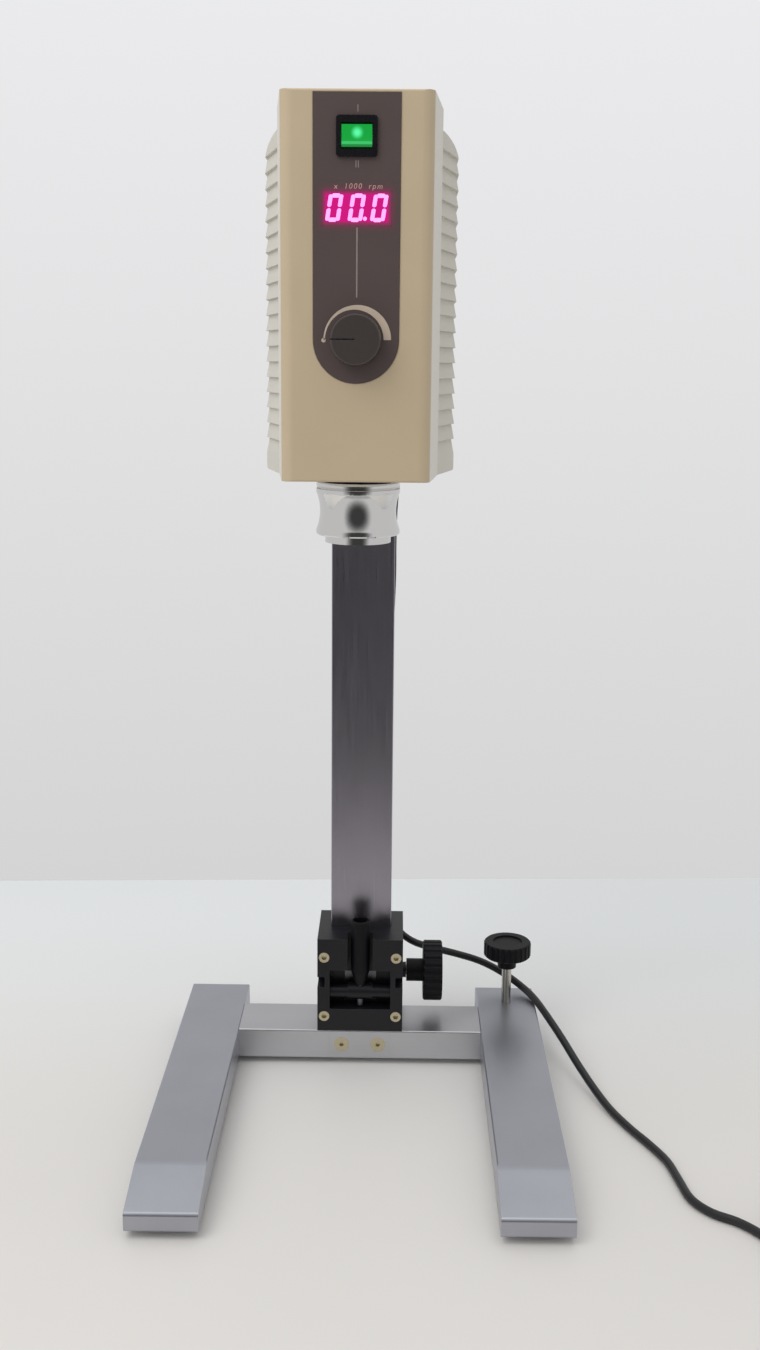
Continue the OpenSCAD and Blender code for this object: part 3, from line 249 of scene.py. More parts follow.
@dataclass(frozen=True)
class Drawn(Finish):
    """A drawn or brushed bar: fine streaks along one axis, in gloss, tone and relief."""

    run: Axis = Axis.X
    streak_mm: float = 0.7
    stretch: float = 90.0
    streak_depth_mm: float = 0.004
    gloss_spread: float = 0.07
    streak_tone: float = 0.06

    def pattern(self, tree: Tree, place: Socket, shader: bpy.types.Node) -> None:
        """Lays streaks that run along the bar."""
        scale = [per_mm(self.streak_mm)] * 3
        scale[self.run.value] /= self.stretch
        lengthwise = add_node(tree, "ShaderNodeMapping", {"Scale": scale}, {"Vector": place})
        streak = add_node(tree, "ShaderNodeTexNoise", {"Scale": 1.0, "Detail": 4.0, "Roughness": 0.65},
                          {"Vector": lengthwise.outputs["Vector"]}).outputs["Fac"]
        gloss = self.spread(tree, streak, self.roughness, self.gloss_spread)
        tone = self.spread(tree, streak, 1.0, self.streak_tone)
        colour = add_node(tree, "ShaderNodeVectorMath", {"operation": "SCALE"},
                          {0: self.tinted(tree, place), "Scale": tone})
        tree.links.new(gloss, shader.inputs["Roughness"])
        tree.links.new(colour.outputs["Vector"], shader.inputs["Base Color"])
        self.relief(tree, shader, streak, self.streak_depth_mm)


@dataclass(frozen=True)
class Polished(Finish):
    """A polished or turned metal: clean reflections with faint wiping marks in the gloss."""

    smear: float = 0.03

    def pattern(self, tree: Tree, place: Socket, shader: bpy.types.Node) -> None:
        """Varies the gloss by faint marks."""
        marks = add_node(tree, "ShaderNodeTexNoise", {"Scale": per_mm(9.0), "Detail": 4.0}, {"Vector": place})
        clean, smeared = self.roughness, self.roughness + self.smear
        gloss = add_node(tree, "ShaderNodeMapRange",
                         {"From Min": 0.35, "From Max": 0.75, "To Min": clean, "To Max": smeared},
                         {"Value": marks.outputs["Fac"]})
        tree.links.new(gloss.outputs["Result"], shader.inputs["Roughness"])
        tree.links.new(self.tinted(tree, place), shader.inputs["Base Color"])


@dataclass(frozen=True)
class Glowing(Grained):
    """A dark sheet with the lit readout's bloom on it, strongest between the digits."""

    bloom: str = "#d0107c"
    bloom_centre: Point = (0.1, -122.6, 659.5)
    bloom_half: Point = (18.2, 40.0, 7.5)
    bloom_fade_mm: float = 1.5
    unlit: str = "#0c0508"

    def glow(self, tree: Tree, place: Socket) -> Socket:
        """Returns the share of the bloom, from 1 between the digits, fading with the distance from them."""
        shift = add_node(
            tree, "ShaderNodeVectorMath", {"operation": "SUBTRACT", 1: mm(*self.bloom_centre)}, {0: place}
        )
        size = add_node(tree, "ShaderNodeVectorMath", {"operation": "ABSOLUTE"}, {0: shift.outputs["Vector"]})
        past = add_node(tree, "ShaderNodeVectorMath", {"operation": "SUBTRACT", 1: mm(*self.bloom_half)},
                        {0: size.outputs["Vector"]})
        outside = add_node(tree, "ShaderNodeVectorMath", {"operation": "MAXIMUM", 1: (0.0, 0.0, 0.0)},
                           {0: past.outputs["Vector"]})
        away = add_node(tree, "ShaderNodeVectorMath", {"operation": "LENGTH"}, {0: outside.outputs["Vector"]})
        fades = add_node(tree, "ShaderNodeMath", {"operation": "MULTIPLY", 1: -per_mm(self.bloom_fade_mm)},
                         {0: away.outputs["Value"]})
        power = add_node(tree, "ShaderNodeMath", {"operation": "EXPONENT"}, {0: fades.outputs["Value"]})
        return power.outputs["Value"]

    def tinted(self, tree: Tree, place: Socket) -> Socket:
        """Returns the sheet's colour, nearly black where the readout shines through."""
        dark = add_node(tree, "ShaderNodeMath", {"operation": "POWER", 1: 0.7}, {0: self.glow(tree, place)})
        both = add_node(tree, "ShaderNodeMixRGB", {2: linear(self.unlit)},
                        {0: dark.outputs["Value"], 1: super().tinted(tree, place)})
        return both.outputs["Color"]

    def pattern(self, tree: Tree, place: Socket, shader: bpy.types.Node) -> None:
        """Adds the bloom's own light to the sheet."""
        super().pattern(tree, place, shader)
        light = add_node(tree, "ShaderNodeVectorMath", {"operation": "SCALE", 0: linear(self.bloom)[:3]},
                         {"Scale": self.glow(tree, place)})
        tree.links.new(light.outputs["Vector"], shader.inputs["Emission Color"])
        shader.inputs["Emission Strength"].default_value = 1.0


@dataclass(frozen=True)
class PilotLens(Finish):
    """A translucent green rocker lit by a neon behind it: a bright core, a lower lip painted paler as painted
    light on its tilted face, and rims painted dark as painted shade at its sides and foot.
    """

    core: str = "#62ffb0"
    # Painted light: the paler tone of the lower, tilted face.
    lip: str = "#3fae68"
    # Painted shade: the dark tone along the rocker's sides and foot.
    rim_painted_shade: str = "#0f4423"
    lamp: Point = (0.2, -120.0, 701.6)
    core_mm: float = 4.4
    painted_bands_z: tuple[float, float] = (695.2, 696.9)
    half_width: float = 8.9
    step_mm: float = 0.4

    def pattern(self, tree: Tree, place: Socket, shader: bpy.types.Node) -> None:
        """Lights the face around the lamp, paints the lower lip paler as painted light and the rims dark as
        painted shade.
        """
        shift = add_node(
            tree, "ShaderNodeVectorMath", {"operation": "SUBTRACT", 1: mm(*self.lamp)}, {0: place}
        )
        flat = add_node(tree, "ShaderNodeVectorMath", {"operation": "MULTIPLY", 1: (1.0, 0.0, 1.0)},
                        {0: shift.outputs["Vector"]})
        away = add_node(tree, "ShaderNodeVectorMath", {"operation": "LENGTH"}, {0: flat.outputs["Vector"]})
        lit = add_node(
            tree, "ShaderNodeMapRange",
            {"interpolation_type": "SMOOTHSTEP", "From Min": 0.0004, "From Max": self.core_mm * 0.001,
             "To Min": 1.0, "To Max": 0.0},
            {"Value": away.outputs["Value"]},
        )
        shown = add_node(tree, "ShaderNodeMixRGB", {1: linear(self.colour), 2: linear(self.core)},
                         {0: lit.outputs["Result"]}).outputs["Color"]
        where = add_node(tree, "ShaderNodeSeparateXYZ", None, {0: place})
        side = add_node(tree, "ShaderNodeMath", {"operation": "ABSOLUTE"}, {0: where.outputs["X"]})
        height, aside = where.outputs["Z"], side.outputs["Value"]
        low, high = self.painted_bands_z
        wide, soft = self.half_width, self.step_mm
        # Painted light on the lip, painted shade along the foot and the sides.
        painted_zones = ((height, high, high - soft, self.lip), (height, low, low - soft, self.rim_painted_shade),
                 (aside, wide, wide + soft, self.rim_painted_shade))
        for value, start, end, tone in painted_zones:
            step = {"From Min": start * 0.001, "From Max": end * 0.001}
            share = add_node(tree, "ShaderNodeMapRange", step, {"Value": value}).outputs["Result"]
            mixed = add_node(tree, "ShaderNodeMixRGB", {2: linear(tone)}, {0: share, 1: shown})
            shown = mixed.outputs["Color"]
        tree.links.new(shown, shader.inputs["Emission Color"])
        shader.inputs["Emission Strength"].default_value = 0.85


@dataclass(frozen=True)
class Lamp(Finish):
    """A lit segment: its own light, hardly any reflection."""

    strength: float = 1.0

    def pattern(self, tree: Tree, place: Socket, shader: bpy.types.Node) -> None:
        """Sets the light."""
        shader.inputs["Emission Color"].default_value = linear(self.colour)
        shader.inputs["Emission Strength"].default_value = self.strength


@dataclass(frozen=True)
class FrontToRearTone(Grained):
    """One tone at the front that passes into another towards the rear: two-tone paint on the cover, and on
    the bench top a painted light that makes it paler and cooler towards the wall.
    """

    rear: str = "#ffffff"
    front_y_mm: float = 0.0
    rear_y_mm: float = 1.0

    def tinted(self, tree: Tree, place: Socket) -> Socket:
        """Returns the front's colour, passing into the rear's between the two depths."""
        front = super().tinted(tree, place)
        depth = add_node(tree, "ShaderNodeSeparateXYZ", None, {0: place})
        start, end = self.front_y_mm * 0.001, self.rear_y_mm * 0.001
        share = add_node(
            tree, "ShaderNodeMapRange",
            {"interpolation_type": "SMOOTHSTEP", "From Min": start, "From Max": end},
            {"Value": depth.outputs["Y"]},
        )
        both = add_node(
            tree, "ShaderNodeMixRGB", {2: linear(self.rear)}, {0: share.outputs["Result"], 1: front}
        )
        return both.outputs["Color"]


# Satin anodised aluminium bar: soft, slightly blue reflections, drawn out along each bar.
LEG_ALUMINIUM = Drawn("satin_anodised_aluminium_legs", "#b3b5bd", 0.38, 1.0, run=Axis.Y, edge_mm=0.3,
                      streak_tone=0.02, gloss_spread=0.04)
BAR_ALUMINIUM = Drawn("satin_anodised_aluminium_bar", "#c4c4c8", 0.34, 1.0, run=Axis.X, edge_mm=0.4,
                      streak_tone=0.02, gloss_spread=0.04)
# The same bar anodised dark: a gunmetal with a broad soft highlight.
COLUMN_ALUMINIUM = Drawn("grey_anodised_aluminium_column", "#aaa6b0", 0.32, 1.0, run=Axis.Z, edge_mm=0.6,
                         streak_tone=0.025, gloss_spread=0.05)
# Milled aluminium, hard black anodised: dull black, with pale lines along the edges.
BLACK_ANODISED = Grained("black_anodised_aluminium", "#131318", 0.40, specular=0.35, edge_mm=0.4,
                         grain_mm=0.5, grain_depth_mm=0.008, edge_wear_and_highlight=0.35, edge_wear_and_highlight_colour="#6a6b73")
# Glass-filled nylon from a spark-eroded mould: a fine even grain and a broad soft highlight.
BLACK_NYLON = Grained("moulded_glass_filled_nylon", "#0e0e12", 0.48, specular=0.2, edge_mm=0.5, grain_mm=0.7,
                      grain_depth_mm=0.02, edge_wear_and_highlight=0.12, edge_wear_and_highlight_colour="#4a4b51")
# Zinc plated steel, passivated straw: warm metal, dull in the sockets.
STRAW_STEEL = Grained("straw_zinc_plated_steel", "#c9bfa2", 0.32, 1.0, edge_mm=0.3, grain_mm=0.8,
                      grain_depth_mm=0.01)
# Plain machine steel with a film of oil.
DARK_STEEL = Grained("oiled_steel", "#6d6f74", 0.38, 1.0, edge_mm=0.3, grain_mm=0.8, grain_depth_mm=0.01)
# Turned and ground steel.
BRIGHT_STEEL = Polished("ground_steel", "#b9b7ae", 0.22, 1.0, edge_mm=0.3)
# Brass turned for bushes and pads.
TURNED_BRASS = Polished("turned_brass", "#b89a5e", 0.28, 1.0)
# Stove enamel over the moulded cover: warm beige with a faint orange peel; its sides are left greige.
BEIGE_ENAMEL = FrontToRearTone("beige_stove_enamel", "#cab798", 0.42, edge_mm=0.8, grain_mm=1.1, grain_depth_mm=0.012,
                       gloss_spread=0.05, drift=0.02, rear="#e6e1d6", front_y_mm=-116.0, rear_y_mm=-113.8)
# Injection moulded styrene blend, fine sand texture: matt, pale and slightly green grey.
GREIGE_SHELL = Grained("moulded_greige_styrene", "#d9d5ca", 0.55, edge_mm=0.5, grain_mm=0.8,
                       grain_depth_mm=0.02, gloss_spread=0.05, drift=0.02)
# Back-printed polyester film: smooth, low sheen, brown grey.
PANEL_FILM = Glowing("printed_polyester_film", "#594c4a", 0.40, edge_mm=0.15, grain_mm=0.5,
                     grain_depth_mm=0.004)
# Smoked acrylic over the readout, so its own light shows deep red inside.
SMOKED_ACRYLIC = Glowing("smoked_acrylic", "#594c4a", 0.32, ior=1.49, edge_mm=0.1,
                         grain_depth_mm=0.0005, gloss_spread=0.02)
SEGMENT_LIGHT = Lamp("lit_red_segment", "#ff8fe8", 0.4, strength=1.1)
LIT_GREEN = PilotLens("lit_green_polycarbonate", "#08862f", 0.22, ior=1.58)
# Screen-printed ink, a little raised and matt.
PALE_INK = Finish("screen_printed_beige_ink", "#cbb9a6", 0.6, drift=0.05, drift_mm=6.0)
DIM_INK = Finish("thin_screen_printed_ink", "#8f847e", 0.6, drift=0.05, drift_mm=6.0)
PINK_INK = Finish("ink_beside_the_readout", "#cf9f98", 0.6, drift=0.05, drift_mm=6.0)
# Glossy black thermoplastic of a bought-in switch.
SWITCH_BLACK = Grained("moulded_switch_black", "#17151a", 0.25, edge_mm=0.4, grain_mm=0.9,
                       grain_depth_mm=0.006)
# Satin knob plastic, warm dark grey; its pale rim is a painted highlight.
KNOB_PLASTIC = Grained("satin_knob_plastic", "#433b39", 0.36, edge_mm=0.3, grain_mm=0.6,
                       grain_depth_mm=0.006, edge_wear_and_highlight=0.2, edge_wear_and_highlight_colour="#8c8486")
# Nickel and chromium plate on turned brass: a clear mirror.
CHROME = Polished("chromium_plate", "#e4e3e2", 0.04, 1.0, edge_mm=0.2, drift=0.01)
# Punched sheets stacked into a core, seen edge on.
CORE_SHEETS = Drawn("stacked_core_sheets", "#77787c", 0.45, 1.0, run=Axis.X, streak_mm=0.5,
                    stretch=400.0, streak_tone=0.2)
CAST_ALLOY = Grained("sand_blasted_die_cast_alloy", "#9a9ca0", 0.5, 1.0, grain_mm=1.2, grain_depth_mm=0.05)
WOUND_COPPER = Drawn("enamelled_copper_winding", "#b5703a", 0.35, 1.0, run=Axis.Z, streak_mm=0.8,
                     stretch=60.0, streak_tone=0.15)
BOARD_LAMINATE = Grained("solder_masked_glass_laminate", "#2c6b48", 0.35, grain_mm=1.0,
                         grain_depth_mm=0.01, drift=0.08, drift_mm=8.0)
# Nitrile rubber, dusty black.
FOOT_RUBBER = Grained("moulded_nitrile_rubber", "#26262a", 0.7, edge_mm=0.6, grain_mm=0.8,
                      grain_depth_mm=0.03)
# Soft PVC over rubber cores: satin black with dull, uneven stretches from handling.
CORD_PVC = Grained("soft_pvc_jacket", "#19191c", 0.38, grain_mm=1.4, grain_depth_mm=0.015,
                   gloss_spread=0.1, edge_mm=0.1)

NODE_FINISHES: dict[str, Finish] = {
    **dict.fromkeys(("left_leg", "right_leg"), LEG_ALUMINIUM),
    **dict.fromkeys(("cross_bar", "column_key"), BAR_ALUMINIUM),
    "column": COLUMN_ALUMINIUM,
    **dict.fromkeys(("guide_block", "front_plate", "cam_shaft", "spindle_seat"), BLACK_ANODISED),
    **dict.fromkeys(("lever_grip", "clamp_knob", "levelling_knob", "levelling_foot", "brush_holders"),
                    BLACK_NYLON),
    **dict.fromkeys(("key_screws", "plate_screws", "cover_screws"), STRAW_STEEL),
    **dict.fromkeys(("leg_bolts", "block_bolts", "bracket_screws", "head_bracket", "lever_rod",
                     "clamp_shoe"), DARK_STEEL),
    **dict.fromkeys(("levelling_rod", "clamp_stud", "motor_shaft", "knob_shaft", "drive_dog", "lower_bearing",
                     "upper_bearing"), BRIGHT_STEEL),
    **dict.fromkeys(("clamp_pad",), TURNED_BRASS),
    "levelling_bush": LEG_ALUMINIUM,
    "front_cover": BEIGE_ENAMEL,
    "rear_housing": GREIGE_SHELL,
    "control_panel": PANEL_FILM,
    "switch_bezel": SWITCH_BLACK,
    "display_window": SMOKED_ACRYLIC,
    "display_module": SWITCH_BLACK,
    "retaining_ring": CHROME,
    **dict.fromkeys(("speed_potentiometer", "motor_frame", "end_shield", "cooling_fan"), CAST_ALLOY),
    "stator": CORE_SHEETS,
    "armature": WOUND_COPPER,
    "circuit_board": BOARD_LAMINATE,
    "rubber_feet": FOOT_RUBBER,
    "rocker": LIT_GREEN,
    "speed_knob": KNOB_PLASTIC,
    "coupling_nut": CHROME,
}


# ---- Mesh helpers ----

UPRIGHT = Matrix.Rotation(math.radians(90), 4, "X")
ALONG_Y = Matrix.Rotation(math.radians(-90), 4, "X")


def piece_from(
    bm: bmesh.types.BMesh, name: str, finish: Finish, body: str | None, crease_deg: float = 30.0
) -> bpy.types.Object:
    """Turns a bmesh, in millimetres, into a dressed piece in the scene.

    Args:
        bm: The mesh in millimetres in the frame's axes; it is freed.
        name: The piece's name.
        finish: Its finish.
        body: The body that it rides on, or None for one that rides on no body.
        crease_deg: Edges that turn by more than this stay sharp.

    Returns:
        The object, at the origin, with its place in its mesh.
    """
    bmesh.ops.remove_doubles(bm, verts=bm.verts, dist=1e-4)
    bmesh.ops.recalc_face_normals(bm, faces=bm.faces)
    bmesh.ops.scale(bm, vec=(0.001,) * 3, verts=bm.verts)
    mesh = bpy.data.meshes.new(name)
    bm.to_mesh(mesh)
    bm.free()
    return piece_of(mesh, name, finish, body, crease_deg)


def piece_of(
    mesh: bpy.types.Mesh, name: str, finish: Finish, body: str | None, crease_deg: float = 30.0
) -> bpy.types.Object:
    """Links a finished mesh into the scene as a dressed piece; the arguments are those of piece_from."""
    mesh.shade_smooth()
    mesh.set_sharp_from_angle(angle=math.radians(crease_deg))
    mesh.materials.clear()
    mesh.materials.append(finish.material())
    piece = bpy.data.objects.new(name, mesh)
    bpy.context.scene.collection.objects.link(piece)
    if body:
        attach(piece, body)
    LOG.info("%s: %d faces, %s", name, len(mesh.polygons), finish.name)
    return piece


def verts_in(geom: Iterable[object]) -> list[bmesh.types.BMVert]:
    """Returns the vertices among the geometry that an operation made."""
    return [item for item in geom if isinstance(item, bmesh.types.BMVert)]


def rounded(
    bm: bmesh.types.BMesh, geom: list[object], radius: float, segments: int, affect: str = "EDGES"
) -> dict[str, list[object]]:
    """Rounds edges, or corners where affect says VERTICES, and returns what that made."""
    return bmesh.ops.bevel(bm, geom=geom, offset=radius, offset_type="OFFSET", affect=affect,
                           segments=segments, profile=0.5, material=-1)


def turn(
    bm: bmesh.types.BMesh, profile: Sequence[tuple[float, float]], place: Matrix, steps: int = 64
) -> None:
    """Turns a profile about the local Z axis.

    Args:
        bm: The mesh that gets the turned shape.
        profile: (radius, height) points in order; end points on the axis close the shape.
        place: Where the turned shape goes.
        steps: Facets round the shape.
    """
    points = [bm.verts.new((radius, 0.0, height)) for radius, height in profile]
    chain = [bm.edges.new(pair) for pair in zip(points, points[1:])]
    spun = bmesh.ops.spin(
        bm, geom=points + chain, cent=(0, 0, 0), axis=(0, 0, 1), angle=math.tau, steps=steps, use_merge=True
    )
    parts = set(verts_in(spun["geom_last"])) | set(points)
    reach = set(parts)
    while parts:  # the spun shape is everything joined to the profile
        parts = {e.other_vert(v) for v in parts for e in v.link_edges} - reach
        reach |= parts
    bmesh.ops.transform(bm, matrix=place, verts=list(reach))
    bmesh.ops.remove_doubles(bm, verts=list(reach), dist=1e-4)


def cube(bm: bmesh.types.BMesh, centre: Point, size: Point) -> list[bmesh.types.BMVert]:
    """Adds a sharp block to a bmesh in millimetres and returns its corners."""
    place = Matrix.LocRotScale(Vector(centre), None, Vector(size))
    return bmesh.ops.create_cube(bm, size=1.0, matrix=place)["verts"]


def block(
    bm: bmesh.types.BMesh, centre: Point, size: Point, round_mm: float = 0.0, segments: int = 3
) -> None:
    """Adds a block with rounded edges to a bmesh in millimetres."""
    corners = cube(bm, centre, size)
    if round_mm:
        edges = list({e for v in corners for e in v.link_edges})
        rounded(bm, edges, round_mm, segments)


def facing_front(y_mm: float) -> Matrix:
    """Returns the placing of a shape drawn in XY with its top along +Z onto a front face at that Y."""
    return Matrix.Translation((0, y_mm, 0)) @ UPRIGHT


def smooth_route(points: Sequence[Sequence[float]], steps: int) -> list[Vector]:
    """Passes a smooth curve through the points, with the given steps between neighbours."""
    route, last = [], len(points) - 1
    knots = [Vector(p) for p in points]
    for i in range(last):
        a, b, c, d = knots[max(i - 1, 0)], knots[i], knots[i + 1], knots[min(i + 2, last)]
        for k in range(steps):
            t = k / steps
            route.append(b + 0.5 * t * (c - a + t * (2 * a - 5 * b + 4 * c - d + t * (3 * (b - c) + d - a))))
    return route + [knots[last]]


# ---- Mains lead ----

LEAD_ROUTE: tuple[Point, ...] = (
    (40, 137, 575), (40, 149, 575), (39, 161, 571), (38, 170, 562), (36, 174, 548), (33, 173, 528),
    (28, 168, 497), (24, 160, 460), (23, 155, 430), (23, 153, 400), (22, 153, 370), (20, 154, 340),
    (17, 155, 305),
    (14, 156, 270), (12, 156, 235), (11, 156, 200), (12, 156, 165), (15, 156, 135), (20, 156, 110),
    (29, 157, 90), (43, 161, 76), (62, 167, 67), (83, 171, 60), (104, 172, 53), (123, 167, 45),
    (139, 157, 37), (149, 140, 33.5), (157, 117, 30), (168, 88, 22), (178, 58, 14), (188, 29, 7.5),
    (197, 4, 4), (208, -22, 3.1), (219, -45, 3.1), (228, -68, 3.1), (232, -93, 3.1),
    (236, -116, 3.1), (247, -132, 3.1), (262, -142, 3.1), (274, -155, 3.1), (285, -174, 3.1),
)
TO_PLUG: tuple[Point, ...] = ((361.2, -158, 10.0), (360.6, -151, 11.4), (360, -144, 12.0), (360, -136, 12.0))


@dataclass
class Coil:
    """The put-away part of the lead: turns beside and on each other, a diameter apart."""

    centre: tuple[float, float] = (324.0, -165.0)
    start_deg: float = 225.0
    end_deg: float = 1800.0
    rows: tuple[float, float] = (31.1, 37.3)
    layers: tuple[float, float, float] = (3.1, 9.3, 15.5)
    step_deg: float = 7.5

    def eased(self, angle: float, start: float, end: float) -> float:
        """Returns 0 before start, 1 after end and a smooth step between, for an angle in degrees."""
        share = min(1.0, max(0.0, (angle - start) / (end - start)))
        return share * share * (3 - 2 * share)

    def point(self, angle: float) -> Vector:
        """Returns the centre of the lead at an angle counted from the coil's start."""
        inner, outer = self.rows
        low, middle, high = self.layers
        radius = outer + (inner - outer) * (self.eased(angle, 465, 555) - self.eased(angle, 1275, 1365))
        first, second = self.eased(angle, 735, 825), self.eased(angle, 1005, 1095)
        third = self.eased(angle, 1545, 1635)
        height = low + (middle - low) * first + (high - middle) * second - (high - middle) * third
        turned = math.radians(angle)
        x, y = self.centre
        return Vector((x + radius * math.cos(turned), y + radius * math.sin(turned), height))

    def path(self) -> list[Vector]:
        """Returns the turns' centreline."""
        count = round((self.end_deg - self.start_deg) / self.step_deg)
        return [self.point(self.start_deg + i * self.step_deg) for i in range(count + 1)]


@dataclass
class MainsLead:
    """The lead from the head to its coil and plug, with the strain relief, a tie and the plug."""

    diameter: float = 6.2
    length: float = 2.02
    exit: Point = (40.0, 137.0, 575.0)
    rear_face: float = 105.0
    flange: tuple[float, float] = (14.0, 3.0)
    taper: tuple[float, float] = (11.6, 8.8)
    ribs: int = 6
    plug_x: float = 360.0
    plug_z: float = 12.0
    plug_y: tuple[float, float, float] = (-150.0, -120.0, -82.0)
    plug_size: tuple[float, float] = (26.0, 24.0)
    blade: Point = (1.6, 6.4, 16.0)
    blade_pitch: float = 12.7
    tie_deg: float = 62.0
    coil: Coil = field(default_factory=Coil)

    def path(self) -> list[Vector]:
        """Returns the whole centreline in metres, from the exit into the plug."""
        turns = self.coil.path()
        knots = [Vector(p) for p in LEAD_ROUTE] + turns[:1]
        lead_in = smooth_route(knots + turns[1:3], 4)[: -8]
        lead_out = smooth_route([turns[-2], turns[-1], *map(Vector, TO_PLUG)], 3)[3:]
        return [p * 0.001 for p in [*lead_in, *turns[:-1], *lead_out]]

    def lead(self) -> bpy.types.Object:
        """Sweeps the jacket along the path."""
        path = self.path()
        curve = bpy.data.curves.new("mains_lead", "CURVE")
        curve.dimensions = "3D"
        curve.bevel_depth = self.diameter / 2000
        curve.bevel_resolution = 4
        curve.use_fill_caps = True
        line = curve.splines.new("POLY")
        line.points.add(len(path) - 1)
        for point, place in zip(line.points, path):
            point.co = (*place, 1.0)
        sweep = bpy.data.objects.new("sweep", curve)
        bpy.context.scene.collection.objects.link(sweep)
        mesh = bpy.data.meshes.new_from_object(sweep.evaluated_get(bpy.context.evaluated_depsgraph_get()))
        bpy.data.objects.remove(sweep)
        mesh.name = "mains_lead"
        piece = piece_of(mesh, "mains_lead", CORD_PVC, None, 60.0)
        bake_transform(piece)
        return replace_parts(piece, "mains_cord", "cord_coil")

    def strain_relief(self) -> bpy.types.Object:
        """Turns the flanged, ribbed sleeve that keeps the lead from kinking at the head."""
        bm = bmesh.new()
        wide, thick = self.flange
        start, end = self.taper
        length = self.exit[1] - self.rear_face
        profile = [(0.0, -3.0), (start / 2, -3.0), (start / 2, 0.0), (wide / 2 - 0.6, 0.0), (wide / 2, 0.6),
                   (wide / 2, thick - 0.8), (wide / 2 - 0.8, thick), (start / 2 + 0.2, thick)]
        pitch = (length - thick - 4) / self.ribs
        for i in range(self.ribs):
            low = thick + 1.5 + i * pitch
            radius = (start + (end - start) * (low - thick) / (length - thick)) / 2
            profile += [(radius, low), (radius, low + pitch * 0.55), (radius - 0.9, low + pitch * 0.63),
                        (radius - 0.95, low + pitch * 0.94)]
        profile += [(end / 2, length - 2.4), (end / 2, length - 0.5), (end / 2 - 0.5, length), (0.0, length)]
        place = Matrix.Translation((self.exit[0], self.rear_face, self.exit[2])) @ ALONG_Y
        turn(bm, profile, place, 40)
        piece = piece_from(bm, "strain_relief", BLACK_NYLON, "lift", 40.0)
        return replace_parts(piece, "cord_gland")

    def tie(self) -> bpy.types.Object:
        """Bends a flat band round the bundle at one place of the coil."""
        bm = bmesh.new()
        inner, outer = self.coil.rows
        radius = self.diameter / 2
        across, top = (outer - inner + 2 * radius), self.coil.layers[-1] + radius
        face = bmesh.ops.create_grid(bm, x_segments=1, y_segments=1, size=0.5)
        bmesh.ops.scale(bm, vec=(across, top, 1), verts=face["verts"])
        rounded(bm, list(bm.verts), radius, 6, "VERTICES")
        bmesh.ops.delete(bm, geom=list(bm.faces), context="FACES_ONLY")
        band = bmesh.ops.extrude_edge_only(bm, edges=list(bm.edges))
        bmesh.ops.translate(bm, vec=(0, 0, 7.0), verts=verts_in(band["geom"]))
        bmesh.ops.recalc_face_normals(bm, faces=bm.faces)
        bmesh.ops.solidify(bm, geom=list(bm.faces), thickness=-0.5)
        middle = (inner + outer) / 2
        upright = Matrix(((1, 0, 0, 0), (0, 0, 1, -3.5), (0, 1, 0, 0), (0, 0, 0, 1)))
        swung = Matrix.Rotation(math.radians(self.tie_deg), 4, "Z")
        place = (Matrix.Translation((*self.coil.centre, top / 2 + 0.52)) @ swung
                 @ Matrix.Translation((middle, 0, 0)) @ upright)
        bmesh.ops.transform(bm, matrix=place, verts=bm.verts)
        block(bm, tuple(place @ Vector((0, top / 2 + 0.2, 3.5))), (4.5, 4.5, 0.8), 0.3, 2)
        band_piece = piece_from(bm, "coil_tie", FOOT_RUBBER, "root")
        return band_piece

    def plug(self) -> list[bpy.types.Object]:
        """Models the plug's moulded body and its three pins."""
        bm = bmesh.new()
        sleeve = [(0.0, 0.0), (4.3, 0.0), (4.6, 4.0), (4.1, 5.0), (4.1, 6.6), (5.0, 7.6), (5.2, 12.0),
                  (4.7, 13.0), (4.7, 14.6), (5.5, 15.6), (5.8, 20.0), (5.3, 21.0), (5.3, 22.6), (6.0, 23.6),
                  (6.0, 32.0), (0.0, 32.0)]
        turn(bm, sleeve, Matrix.Translation((self.plug_x, self.plug_y[0], self.plug_z)) @ ALONG_Y, 40)
        wide, high = self.plug_size
        length = self.plug_y[2] - self.plug_y[1]
        body = cube(bm, (self.plug_x, self.plug_y[1] + length / 2, high / 2), (wide, length, high))
        rear = [v for v in body if v.co.y < self.plug_y[1] + 1]
        bmesh.ops.scale(bm, vec=(0.74, 1.0, 0.8), verts=rear,
                        space=Matrix.Translation((-self.plug_x, 0, -self.plug_z)))
        edges = list({e for v in body for e in v.link_edges})
        made = rounded(bm, edges, 3.6, 5)
        sides = [f for f in made["faces"] + list(bm.faces)
                 if f.is_valid and abs(f.normal.x) > 0.9 and f.calc_area() > 150]
        bmesh.ops.inset_individual(bm, faces=list(set(sides)), thickness=3.0, depth=-0.9)
        shell = piece_from(bm, "plug_body", BLACK_NYLON, "root", 35.0)
        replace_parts(shell, "plug")
        bm = bmesh.new()
        thick, tall, reach = self.blade
        for side in (-1, 1):
            x = self.plug_x + side * self.blade_pitch / 2
            middle = (x, self.plug_y[2] + reach / 2 - 0.5, self.plug_z + 1)
            block(bm, middle, (thick, reach + 1, tall), 0.5, 2)
        pin = [(0.0, -1.0), (2.4, -1.0), (2.4, reach - 0.8), (1.7, reach + 0.6), (0.0, reach + 1.0)]
        turn(bm, pin, Matrix.Translation((self.plug_x, self.plug_y[2], self.plug_z - 7)) @ ALONG_Y, 24)
        pins = piece_from(bm, "plug_pins", BRIGHT_STEEL, "root", 35.0)
        return [shell, pins]

    def build(self) -> None:
        lead = self.lead()
        relief = self.strain_relief()
        tie = self.tie()
        self.path()
        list(self.plug())


# ---- Control face ----


